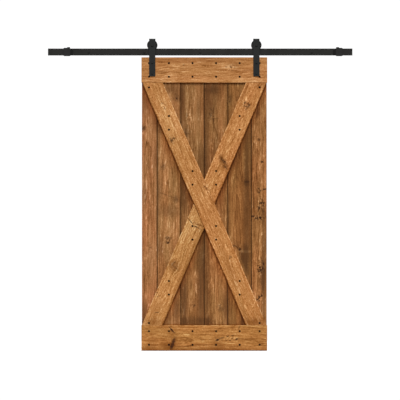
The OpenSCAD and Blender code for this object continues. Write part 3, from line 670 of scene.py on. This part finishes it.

# Blemishes of each plank, from left to right, in millimetres of the door's face; a few stains are painted
# shade beside the boards
PLANK_MARKS = (
    [
        # The stain at -330, -490 is painted shade under the long brace's lower edge
        stain(-395, -380, 90, 36, 0.3), stain(-330, -490, 70, 18, 0.4), stain(-410, -555, 22, 15, 0.5),
        knot(-410, -555, 12, 0.6), stain(-330, -780, 80, 16, 0.3), stain(-405, -1030, 65, 16, 0.4),
        burr(-380, -840, 18, 12, 0.35, 0.3), burr(-370, -1420, 20, 16, 0.55, 0.3),
        burr(-380, -1615, 15, 12, 0.4, 0.2), stain(-365, -1490, 85, 28, 0.15),
        stain(-405, -1905, 100, 26, 0.6), pale(-370, -1310, 60, 28, 0.45), pale(-390, -430, 15, 5, 0.5),
        pale(-395, -615, 22, 5, 0.5), pale(-390, -715, 30, 4, 0.45), pale(-390, -950, 22, 5, 0.75),
        pale(-390, -985, 15, 5, 0.5), pale(-395, -1205, 15, 5, 0.65), pale(-390, -1245, 15, 5, 0.5),
        pale(-390, -1495, 22, 5, 0.45), pale(-395, -1775, 22, 5, 0.5), pale(-365, -1145, 22, 4, 0.4),
        # The stain at -395, -1970 is painted shade in the corner above the bottom ledger
        stain(-395, -1970, 25, 45, 0.5)],
    [
        stain(-200, -270, 32, 60, 0.45), stain(-170, -330, 22, 30, 0.5, 60),
        burr(-175, -335, 20, 19, 0.7, 0.2), pale(-215, -295, 22, 5, 0.5),
        stain(-270, -835, 22, 18, 0.5, 40), burr(-275, -840, 19, 15, 0.8, 0.2, 30),
        pale(-255, -810, 22, 6, 0.5), pale(-255, -920, 66, 4, 0.7), stain(-295, -545, 60, 20, 0.5),
        stain(-290, -1010, 80, 20, 0.35), crack(-235, -1045, 66, 3, -70, 0.35),
        stain(-175, -1075, 22, 22, 0.55), burr(-170, -1075, 22, 18, 0.6, 0.2),
        stain(-225, -1155, 44, 84, 0.38), pale(-225, -1255, 66, 58, 0.1),
        stain(-235, -1355, 10, 22, 0.55), burr(-235, -1365, 25, 25, 0.7, 0.4),
        stain(-235, -1385, 8, 18, 0.45), crack(-235, -1390, 12, 4, 90, 0.8),
        stain(-290, -1430, 75, 24, 0.45), stain(-245, -1935, 70, 34, 0.55),
        stain(-170, -1880, 110, 26, 0.6), pale(-255, -740, 110, 45, 0.12)],
    [
        stain(-120, -645, 400, 22, 0.3), stain(-125, -315, 100, 18, 0.35), pale(-40, -480, 250, 26, 0.28),
        stain(-10, -425, 80, 16, 0.3), pale(-75, -440, 30, 5, 0.8, 8), pale(-65, -485, 30, 5, 0.8, -10),
        pale(-80, -525, 30, 5, 0.5, 10), pale(-100, -410, 75, 4, 0.4), burr(-85, -475, 66, 22, 0.4, 0.5),
        burr(-90, -580, 36, 19, 0.5, 0.2), stain(-100, -590, 30, 18, 0.45), stain(5, -800, 115, 24, 0.5),
        stain(-120, -1045, 115, 30, 0.5), stain(5, -1640, 390, 28, 0.72),
        stain(-115, -1830, 180, 24, 0.75), pale(-65, -1760, 130, 20, 0.15),
        # The stain at -60, -1960 is painted shade in the corner above the bottom ledger
        stain(-60, -1960, 28, 95, 0.55), burr(-50, -1840, 19, 16, 0.6, 0.2),
        pale(-40, -1615, 22, 5, 0.9, 15), pale(-25, -1635, 15, 4, 0.7, -20),
        pale(-30, -1740, 22, 5, 0.9, -15), pale(-120, -1885, 36, 4, 0.85, 10),
        pale(-95, -1935, 30, 4, 0.75, -8), pale(-125, -1810, 30, 3, 0.5), pale(-65, -1535, 60, 4, 0.35)],
    [
        stain(50, -535, 330, 19, 0.48), stain(90, -325, 85, 44, 0.45), stain(95, -265, 35, 50, 0.5),
        burr(80, -460, 58, 20, 0.45, 0.45), stain(85, -440, 50, 16, 0.35), pale(80, -460, 18, 4, 0.65),
        pale(65, -500, 15, 4, 0.6), crack(110, -485, 36, 3, 90, 0.35), pale(160, -440, 115, 30, 0.34),
        stain(115, -715, 180, 22, 0.2), stain(60, -840, 110, 30, 0.25),
        # The stain at 150, -960 is painted shade along the upper half brace's lower edge
        stain(150, -960, 130, 26, 0.45, 23), stain(45, -1700, 300, 18, 0.6),
        stain(45, -1265, 60, 20, 0.5), pale(160, -1660, 100, 22, 0.35), pale(100, -1505, 36, 8, 0.5),
        pale(140, -1845, 12, 12, 0.8), burr(145, -1855, 25, 20, 0.5, 0.6), stain(150, -1875, 16, 16, 0.5),
        # The stain at 60, -1960 is painted shade in the corner above the bottom ledger
        stain(60, -1960, 28, 36, 0.55), pale(50, -1915, 36, 3, 0.85), pale(120, -1830, 130, 26, 0.15),
        pale(145, -1935, 44, 36, 0.35), stain(185, -1850, 110, 18, 0.6)],
    [
        stain(220, -345, 30, 13, 0.5), burr(215, -350, 25, 13, 0.6, 0.1), pale(265, -290, 70, 34, 0.15),
        stain(308, -1500, 140, 14, 0.3, -24), stain(340, -730, 220, 22, 0.55),
        # The stain at 235, -800 is painted shade along the upper half brace's lower edge
        stain(235, -800, 130, 26, 0.5, 23), stain(340, -1200, 300, 24, 0.65),
        pale(270, -1180, 170, 20, 0.24), pale(240, -935, 290, 24, 0.16), stain(340, -950, 22, 22, 0.4),
        crack(340, -945, 18, 6, 90, 0.55), pale(300, -1450, 8, 15, 0.7),
        pale(332, -1453, 36, 9, 0.85, 90), stain(325, -1500, 45, 36, 0.6), stain(320, -1430, 35, 30, 0.4),
        knot(285, -1435, 11, 1, 1, 1), crack(260, -1415, 18, 4, -50, 0.6),
        crack(240, -1410, 11, 4, -60, 0.5), stain(335, -1600, 60, 24, 0.4),
        # The stain at 315, -1935 is painted shade beside the long brace's lower edge at its foot
        stain(220, -1890, 95, 20, 0.3), stain(315, -1935, 60, 26, 0.65)],
    [
        stain(420, -440, 22, 15, 0.5), knot(425, -635, 9, 0.75), crack(400, -615, 28, 3, 90, 0.25),
        pale(425, -850, 50, 18, 0.35), pale(435, -780, 15, 5, 0.5), knot(450, -800, 8, 1, 1, 1),
        crack(468, -1000, 14, 6, 80, 0.85), burr(430, -1000, 34, 16, 0.8, 0.4),
        stain(460, -1160, 80, 18, 0.5), burr(445, -1110, 55, 28, 1, 0.8),
        crack(428, -1135, 22, 5, 8, 0.85), burr(430, -1205, 18, 47, 1, 0.7),
        crack(385, -1195, 14, 5, 80, 0.9), knot(405, -1210, 10, 1, 1, 1), knot(438, -1205, 10, 1, 1, 1),
        pale(430, -1505, 22, 5, 0.9), burr(440, -1565, 55, 28, 1, 0.9), pale(436, -1628, 14, 10, 0.9),
        knot(442, -1592, 12, 1, 1, 1), knot(460, -1545, 7, 1, 1, 1),
        burr(435, -1790, 31, 18, 0.9, 0.4, 38), crack(430, -1790, 22, 5, 42, 0.9),
        stain(465, -1600, 340, 18, 0.7), stain(450, -1640, 90, 20, 0.45)])

BOARD_MARKS = {
    "top_ledger": [
        pale(-175, -105, 26, 4, 0.85, 90), pale(-170, -120, 18, 4, 0.55, 90),
        pale(-190, -95, 15, 3, 0.45, 90), stain(-280, -145, 45, 6, 0.5, 90),
        crack(-120, -95, 7, 3, 60, 0.6), pale(190, -115, 16, 5, 0.6, 70), pale(205, -130, 15, 4, 0.5, 60),
        pale(225, -95, 22, 4, 0.65, 85), pale(245, -115, 18, 4, 0.65, 100),
        burr(220, -115, 45, 20, 0.6, 0.45, 90), stain(260, -135, 30, 8, 0.3, 90),
        stain(255, -95, 50, 18, 0.3, 90), pale(30, -205, 450, 18, 0.24, 90),
        stain(30, -55, 450, 26, 0.22, 90), pale(-75, -170, 220, 9, 0.15, 90),
        stain(365, -135, 60, 8, 0.3, 90)],
    "bottom_ledger": [
        crack(-210, -2020, 28, 4, -40, 0.9), crack(-200, -2025, 18, 3, -30, 0.8),
        burr(-205, -2020, 35, 13, 0.6, 0.3, -35), stain(-195, -2115, 45, 22, 0.6, 20),
        stain(-240, -2140, 18, 40, 0.6), crack(-200, -2125, 45, 11, 20, 0.85),
        crack(125, -2095, 18, 6, 70, 0.75), crack(160, -2080, 15, 5, 75, 0.7),
        crack(200, -2070, 10, 5, 70, 0.75), crack(235, -2065, 8, 5, 90, 0.7),
        crack(265, -2090, 15, 5, 60, 0.75), burr(190, -2090, 90, 15, 0.7, 0.2, 90),
        stain(135, -2130, 35, 45, 0.4), stain(30, -2165, 450, 12, 0.6, 90),
        crack(30, -2140, 445, 2, 90, 0.35), pale(-110, -2055, 25, 4, 0.85, 90),
        pale(-155, -2035, 22, 3, 0.5, 90), crack(283, -2005, 13, 3, 5, 0.7),
        pale(-310, -2060, 30, 4, 0.5, 80), pale(-375, -2075, 22, 4, 0.5, 70),
        pale(225, -2035, 45, 4, 0.5, 85), pale(35, -2070, 45, 4, 0.45, 90),
        stain(-350, -2110, 60, 30, 0.22), stain(-380, -2150, 22, 60, 0.35),
        stain(-250, -2080, 80, 110, 0.18), pale(290, -2080, 80, 70, 0.18)],
    "long_brace": [
        burr(-270, -395, 40, 20, 0.35, 0.8, -23), pale(-255, -415, 15, 5, 0.8, 10),
        pale(-280, -380, 13, 4, 0.8, -23), stain(-203, -640, 28, 24, 0.35),
        burr(-200, -640, 28, 24, 0.7, 0.4), crack(-212, -640, 16, 4, -15, 0.65),
        crack(-200, -635, 16, 4, 30, 0.6), pale(55, -980, 22, 5, 0.75, -23),
        pale(50, -1030, 22, 5, 0.65, -30), crack(35, -980, 12, 3, -50, 0.5),
        burr(45, -985, 45, 20, 0.4, 0.7, -23), pale(-215, -510, 200, 52, 0.42, -23),
        stain(-165, -830, 100, 18, 0.35, -23), stain(205, -1560, 150, 26, 0.22, -23),
        stain(440, -1930, 60, 60, 0.3), stain(320, -1900, 80, 16, 0.35, -23),
        burr(215, -1500, 18, 15, 0.9, 0.3), crack(215, -1500, 12, 3, 10, 0.6),
        pale(250, -1635, 18, 6, 0.85, -10), pale(260, -1685, 22, 6, 0.95, -30),
        pale(285, -1740, 22, 6, 0.95, -20), pale(330, -1855, 20, 6, 0.8, -30),
        pale(185, -1415, 18, 6, 0.85, -10), pale(218, -1525, 16, 5, 0.85, -15),
        stain(405, -1970, 28, 95, 0.5), stain(345, -1800, 240, 75, 0.22, -23)],
    "upper_half_brace": [
        pale(290, -530, 110, 45, 0.34, 23), stain(340, -390, 26, 24, 0.4),
        burr(340, -385, 38, 24, 0.6, 0.7, 23), crack(336, -397, 16, 6, -70, 0.55),
        crack(355, -389, 14, 5, 50, 0.45), crack(324, -370, 13, 4, 35, 0.5),
        pale(315, -375, 16, 5, 0.7, 10), pale(336, -342, 16, 5, 0.7, -20),
        pale(335, -335, 30, 5, 0.5, 23), pale(355, -360, 15, 4, 0.5, 60),
        stain(170, -810, 55, 20, 0.55, -25), crack(165, -795, 40, 7, -27, 0.34),
        crack(185, -810, 36, 6, -32, 0.34), crack(190, -845, 18, 5, -30, 0.4),
        stain(150, -770, 22, 14, 0.4), pale(135, -820, 15, 5, 0.4, 23),
        burr(170, -805, 40, 22, 0.5, 0.3, -20), crack(45, -980, 12, 4, 40, 0.6),
        burr(50, -985, 22, 18, 0.6, 0.4, 23), pale(55, -965, 13, 4, 0.5, 23),
        stain(320, -300, 90, 10, 0.35, 23), stain(440, -235, 35, 40, 0.3)],
    "lower_half_brace": [
        stain(-5, -1260, 28, 7, 0.9, -72), crack(-76, -1226, 25, 3, -38, 0.75),
        crack(-31, -1272, 14, 5, -66, 0.95), crack(-5, -1287, 16, 3, -55, 0.6),
        crack(-62, -1240, 16, 3, -36, 0.6), pale(-24, -1264, 10, 3, 0.7, -66),
        crack(-44, -1238, 12, 3, 25, 0.5), pale(-59, -1253, 8, 5, 0.6), pale(-95, -1240, 15, 4, 0.5, 23),
        stain(-330, -1890, 90, 50, 0.25, 23), stain(-190, -1555, 40, 36, 0.6),
        knot(-190, -1555, 26, 0.2, 1.3, 0.1), crack(-195, -1540, 26, 4, 40, 0.35),
        crack(-180, -1570, 26, 4, -50, 0.35), stain(-115, -1595, 300, 12, 0.35, 23),
        crack(-315, -1750, 10, 3, 80, 0.6), crack(-310, -1780, 9, 3, 75, 0.55),
        crack(-315, -1895, 16, 3, 85, 0.65), pale(-295, -1810, 18, 4, 0.4, 23),
        stain(-345, -1970, 28, 95, 0.4), pale(-80, -1260, 110, 60, 0.3, 23)],
}


# Ironwork, rubber and bright steel, whose noises each give a scale, octaves and roughness

# Powder coat: its pebbled skin, and how clouds and scuffs shift its tone from dark to light
PEBBLE_NOISE = (900.0, 2.0, 0.55)
PEBBLE_STRENGTH = 0.35
PEBBLE_DEPTH = 0.12 * MM
CLOUD_NOISE = (9.0, 3.0, 0.55)
CLOUD_TONE = 0.9
SCUFF_NOISE = (60.0, 4.0, 0.65)
SCUFF_TONE = 0.5
COAT_LEVELS = (0.2, 0.8)
COAT_DARK = 0.72
COAT_LIGHT = 1.3
COAT_ROUGHNESS = 0.6
SCUFF_ROUGHNESS = 0.35
COAT_COLOUR = shown(38, 38, 38)
TRACK_COLOUR = shown(38, 38, 37)
STRAP_COLOUR = shown(37, 39, 39)
HEAD_COLOUR = shown(4, 4, 4)
THREAD_COLOUR = shown(46, 46, 46)
COAT_SPECULAR = 0.12
HEAD_SPECULAR = 0.02
THREAD_SPECULAR = 0.2

# Rubber of the bumpers
MOTTLE_NOISE = (140.0, 3.0, 0.6)
RUBBER_STOPS = [(0.25, shown(14, 14, 14)), (0.8, shown(30, 30, 30))]
RUBBER_ROUGHNESS = 0.62
MOTTLE_ROUGHNESS = 0.25
RUBBER_SPECULAR = 0.12
RUBBER_SKIN_NOISE = (700.0, 2.0, 0.5)
RUBBER_SKIN_STRENGTH = 0.4
RUBBER_SKIN_DEPTH = 0.15 * MM

# Bearing steel: turning marks that lie close together along the axle
TURNING_NOISE = ((300.0, 6000.0, 300.0), 2.0, 0.5)
TURNING_STRENGTH = 0.2
TURNING_DEPTH = 0.05 * MM
TURNING_ROUGHNESS = 0.25
STEEL_ROUGHNESS = 0.2
OIL_NOISE = (120.0, 2.0, 0.5)
STEEL_STOPS = [(0.3, (0.30, 0.30, 0.31, 1.0)), (0.7, (0.52, 0.52, 0.54, 1.0))]

# Rounding of the straps' and stop clamps' edges that turn by more than EDGE_ANGLE degrees
EDGE_ROUND = 0.7 * MM
EDGE_SEGMENTS = 2
EDGE_ANGLE = 50.0

# Threads of the lag screws: radii, pitch, length of the point, and steps in a turn
LAG_CORE = 3.6 * MM
LAG_CREST = 4.0 * MM
LAG_PITCH = 2.8 * MM
LAG_POINT = 8 * MM
TURN_STEPS = 20
# A ridge's foot as a share of the core, its least height over the point, and half its widths in pitches
RIDGE_FOOT = 0.97
RIDGE_LEAST = 0.4
RIDGE_FLANK = 0.42
RIDGE_TOP = 0.06


def powder_coat(name, colour, specular=COAT_SPECULAR):
    """Matte black coat with a fine pebbled skin and faint dusty patches."""
    material, g, shader = new_material(name)
    here = g.add("ShaderNodeTexCoord").outputs["Object"]
    pebble = g.noise(here, *PEBBLE_NOISE)
    cloud = g.centred(g.noise(here, *CLOUD_NOISE))
    scuff = g.centred(g.noise(here, *SCUFF_NOISE))
    lift = g.math("MULTIPLY_ADD", cloud, CLOUD_TONE, MIDDLE_TONE)
    lift = g.math("MULTIPLY_ADD", scuff, SCUFF_TONE, lift)
    darker = tint(colour, (COAT_DARK, COAT_DARK, COAT_DARK))
    lighter = tint(colour, (COAT_LIGHT, COAT_LIGHT, COAT_LIGHT))
    stops = list(zip(COAT_LEVELS, (darker, lighter)))
    g.feed(shader.inputs["Base Color"], g.ramp(lift, stops))
    g.feed(shader.inputs["Roughness"], g.math("MULTIPLY_ADD", scuff, SCUFF_ROUGHNESS, COAT_ROUGHNESS))
    shader.inputs["Specular IOR Level"].default_value = specular
    g.bump(shader, pebble, PEBBLE_STRENGTH, PEBBLE_DEPTH)
    return material


def rubber(name):
    """Dull mottled rubber with a fine skin."""
    material, g, shader = new_material(name)
    here = g.add("ShaderNodeTexCoord").outputs["Object"]
    mottle = g.noise(here, *MOTTLE_NOISE)
    g.feed(shader.inputs["Base Color"], g.ramp(mottle, RUBBER_STOPS))
    g.feed(shader.inputs["Roughness"], g.math("MULTIPLY_ADD", mottle, MOTTLE_ROUGHNESS, RUBBER_ROUGHNESS))
    shader.inputs["Specular IOR Level"].default_value = RUBBER_SPECULAR
    g.bump(shader, g.noise(here, *RUBBER_SKIN_NOISE), RUBBER_SKIN_STRENGTH, RUBBER_SKIN_DEPTH)
    return material


def bright_steel(name):
    """Ground bearing steel with fine turning marks and traces of oil."""
    material, g, shader = new_material(name)
    here = g.add("ShaderNodeTexCoord").outputs["Object"]
    lines = g.noise(here, *TURNING_NOISE)
    g.feed(shader.inputs["Base Color"], g.ramp(g.noise(here, *OIL_NOISE), STEEL_STOPS))
    shader.inputs["Metallic"].default_value = 1.0
    g.feed(shader.inputs["Roughness"], g.math("MULTIPLY_ADD", lines, TURNING_ROUGHNESS, STEEL_ROUGHNESS))
    g.bump(shader, lines, TURNING_STRENGTH, TURNING_DEPTH)
    return material


# Dressing the CAD nodes

def dress(node, material):
    """Gives a CAD node this material on all its faces."""
    slots = cad[node].data.materials
    slots.clear()
    slots.append(material)


def soften(node):
    """Rounds a CAD node's sharp edges a little, without touching its mesh."""
    weld = cad[node].modifiers.new("weld", "WELD")
    weld.merge_threshold = JOIN
    bevel = cad[node].modifiers.new("soft_edges", "BEVEL")
    bevel.width = EDGE_ROUND
    bevel.segments = EDGE_SEGMENTS
    bevel.limit_method = "ANGLE"
    bevel.angle_limit = math.radians(EDGE_ANGLE)
    bevel.harden_normals = True


def loose_parts(node):
    """Lowest and highest corners of each loose part of a node's mesh, whose faces share no points."""
    mesh = cad[node].data
    spots = [tuple(round(part / JOIN) for part in vertex.co) for vertex in mesh.vertices]
    parent = {spot: spot for spot in spots}

    def root(spot):
        while parent[spot] != spot:
            parent[spot] = parent[parent[spot]]
            spot = parent[spot]
        return spot

    for edge in mesh.edges:
        a, b = edge.vertices
        parent[root(spots[a])] = root(spots[b])
    groups = {}
    for spot in parent:
        groups.setdefault(root(spot), []).append(spot)
    boxes = []
    for points in groups.values():
        low = Vector([min(point[i] for point in points) * JOIN for i in range(3)])
        high = Vector([max(point[i] for point in points) * JOIN for i in range(3)])
        boxes.append((low, high))
    return boxes


def screw_places(node):
    """Middles of a node's screw heads on the door's face."""
    places = []
    for low, high in loose_parts(node):
        middle = (low + high) / 2
        places.append((middle.x, middle.z))
    return places


def dress_planks():
    for i in range(PLANK_COUNT):
        node = f"plank_{i + 1}"
        left = PLANK_EDGES[i] * MM
        right = PLANK_EDGES[i + 1] * MM
        middle = middle_of(node)
        middle.x = (left + right) / 2
        board = Board(0.0, right - left, middle)
        seams = []
        if i > 0:
            seams.append((-1.0, GRIME_LEFT))
        if i < PLANK_COUNT - 1:
            seams.append((1.0, GRIME_RIGHT))
        pine = wood(f"{node}_pine", board, PLANK_LOOK, PLANK_MARKS[i], i + 1, PLANK_SHADES[i], seams=seams)
        dress(node, pine)


def dress_boards():
    """Dresses the ledgers and braces, whose grain runs along them. The half braces lie on one line."""
    lean = brace_lean()
    heads = {node: screw_places(node) for node in SCREW_NODES}
    boards = [
        ("top_ledger", "top_ledger", RIGHT_ANGLE, LEDGER_WIDTH, 0, "top_ledger_screws"),
        ("bottom_ledger", "bottom_ledger", RIGHT_ANGLE, LEDGER_WIDTH, -1, "bottom_ledger_screws"),
        ("long_brace", "long_brace", -lean, BRACE_WIDTH, 1, "brace_screws"),
        ("upper_half_brace", "long_brace", lean, BRACE_WIDTH, -1, "brace_screws"),
        ("lower_half_brace", "long_brace", lean, BRACE_WIDTH, -1, "brace_screws")]
    for seed, (node, centre, turn, width, upper, screws) in enumerate(boards, start=BOARD_SEED):
        board = Board(turn, width, middle_of(centre))
        look = LEDGER_LOOK if "ledger" in node else BOARD_LOOK
        places = [place for place in heads[screws] if abs(board.local(*place)[0]) < width / 2]
        marks = BOARD_MARKS[node]
        pine = wood(f"{node}_pine", board, look, marks, seed, BOARD_SHADES[node], upper, screws=places)
        dress(node, pine)


def dress_ironwork():
    coat = powder_coat("black_coat", COAT_COLOUR)
    track = powder_coat("track_coat", TRACK_COLOUR)
    strap = powder_coat("strap_coat", STRAP_COLOUR)
    head = powder_coat("screw_black", HEAD_COLOUR, HEAD_SPECULAR)
    bumper = rubber("bumper_rubber")
    steel = bright_steel("bearing_steel")
    for node in SCREW_NODES:
        dress(node, head)
    for node in COATED_NODES:
        dress(node, coat)
    for i in range(STANDOFF_COUNT):
        dress(f"standoff_{i + 1}", coat)
    dress("track_rail", track)
    for side in SIDES:
        dress(f"{side}_strap", strap)
        dress(f"{side}_stop_bumper", bumper)
        for piece in COATED_PIECES:
            dress(f"{side}_{piece}", coat)
        for piece in STEEL_PIECES:
            dress(f"{side}_{piece}", steel)
        soften(f"{side}_strap")
        soften(f"{side}_stop_clamp")


# Threads: a helical ridge on each lag screw, from the wall's face to its tip

def add_thread(name, body, material, x, z, start_y, end_y):
    """A ridge on a lag screw at x and z, from start_y to its tip at end_y, which narrows over the point."""
    turns = (end_y - start_y) / LAG_PITCH
    steps = int(turns * TURN_STEPS)
    corners = []
    faces = []
    for i in range(steps + 1):
        along = start_y + (end_y - start_y) * i / steps
        angle = 2 * math.pi * turns * i / steps
        share = min(1.0, (end_y - along) / LAG_POINT)
        grown = min(1.0, i / TURN_STEPS, (steps - i) / TURN_STEPS)
        foot = LAG_CORE * share * RIDGE_FOOT
        top = LAG_CORE * share + (LAG_CREST - LAG_CORE) * grown * max(share, RIDGE_LEAST)
        profile = ((foot, -RIDGE_FLANK), (top, -RIDGE_TOP), (top, RIDGE_TOP), (foot, RIDGE_FLANK))
        for radius, offset in profile:
            y = min(along + offset * LAG_PITCH, end_y)
            corners.append((x + radius * math.cos(angle), y, z + radius * math.sin(angle)))
        if i:
            new = i * len(profile)
            old = new - len(profile)
            for j in range(len(profile) - 1):
                faces.append((old + j, old + j + 1, new + j + 1, new + j))
    mesh = bpy.data.meshes.new(name)
    mesh.from_pydata(corners, [], faces)
    mesh.materials.append(material)
    ridge = bpy.data.objects.new(name, mesh)
    bpy.context.scene.collection.objects.link(ridge)
    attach(ridge, body)


def cut_threads():
    coat = powder_coat("thread_coat", THREAD_COLOUR, THREAD_SPECULAR)
    for i, (low, high) in enumerate(loose_parts("lag_screws"), start=1):
        middle = (low + high) / 2
        add_thread(f"lag_thread_{i}", "track", coat, middle.x, middle.z, LAG_PITCH, high.y)


# Stage

def make_camera():
    data = bpy.data.cameras.new("camera")
    data.lens = LENS_MM
    data.sensor_width = SENSOR_MM
    data.clip_end = CLIP_END
    camera = bpy.data.objects.new("camera", data)
    bpy.context.scene.collection.objects.link(camera)
    front_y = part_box("top_ledger")[0].y
    camera.location = (VIEW_CENTRE_X, front_y - VIEW_WIDTH * LENS_MM / SENSOR_MM, VIEW_CENTRE_Z)
    camera.rotation_euler = (RIGHT_ANGLE, 0.0, 0.0)
    bpy.context.scene.camera = camera


def make_surroundings():
    """Dim light from in front and a white backdrop behind, which the camera sees from every side."""
    world = bpy.data.worlds.new("studio")
    bpy.context.scene.world = world
    world.use_nodes = True
    g = Graph(world.node_tree)
    sky = world.node_tree.nodes["Background"]
    way = g.add("ShaderNodeTexCoord").outputs["Generated"]
    seen = g.add("ShaderNodeLightPath").outputs["Is Camera Ray"]
    white = g.math("MAXIMUM", g.ease(g.parts(way)[1], *BACKDROP_TURN), seen)
    strength = g.math("MULTIPLY_ADD", white, BACKDROP_STRENGTH - FRONT_STRENGTH, FRONT_STRENGTH)
    g.feed(sky.inputs["Strength"], strength)
    g.feed(sky.inputs["Color"], g.mix(white, FRONT_COLOUR, WHITE))


def make_key():
    data = bpy.data.lights.new("key", "SUN")
    data.energy = KEY_STRENGTH
    data.angle = math.radians(KEY_ANGLE)
    key = bpy.data.objects.new("key", data)
    bpy.context.scene.collection.objects.link(key)
    key.rotation_euler = (RIGHT_ANGLE - math.radians(KEY_RISE), 0.0, 0.0)


def make_floor():
    height = cad_low.z - FLOOR_GAP
    half_x, half_y = (side / 2 for side in FLOOR_SIZE)
    mesh = bpy.data.meshes.new("floor")
    signs = ((-1, -1), (1, -1), (1, 1), (-1, 1))
    corners = [(x * half_x, y * half_y, height) for x, y in signs]
    mesh.from_pydata(corners, [], [(0, 1, 2, 3)])
    floor = bpy.data.objects.new("floor", mesh)
    bpy.context.scene.collection.objects.link(floor)
    material, _, shader = new_material("floor_white")
    shader.inputs["Base Color"].default_value = (FLOOR_SHADE, FLOOR_SHADE, FLOOR_SHADE, 1.0)
    shader.inputs["Roughness"].default_value = FLOOR_ROUGHNESS
    shader.inputs["Specular IOR Level"].default_value = 0.0
    shader.inputs["Emission Color"].default_value = WHITE
    shader.inputs["Emission Strength"].default_value = FLOOR_GLOW
    mesh.materials.append(material)


make_camera()
make_surroundings()
make_key()
make_floor()
dress_planks()
dress_boards()
dress_ironwork()
cut_threads()
bpy.context.scene.view_settings.view_transform = "Standard"
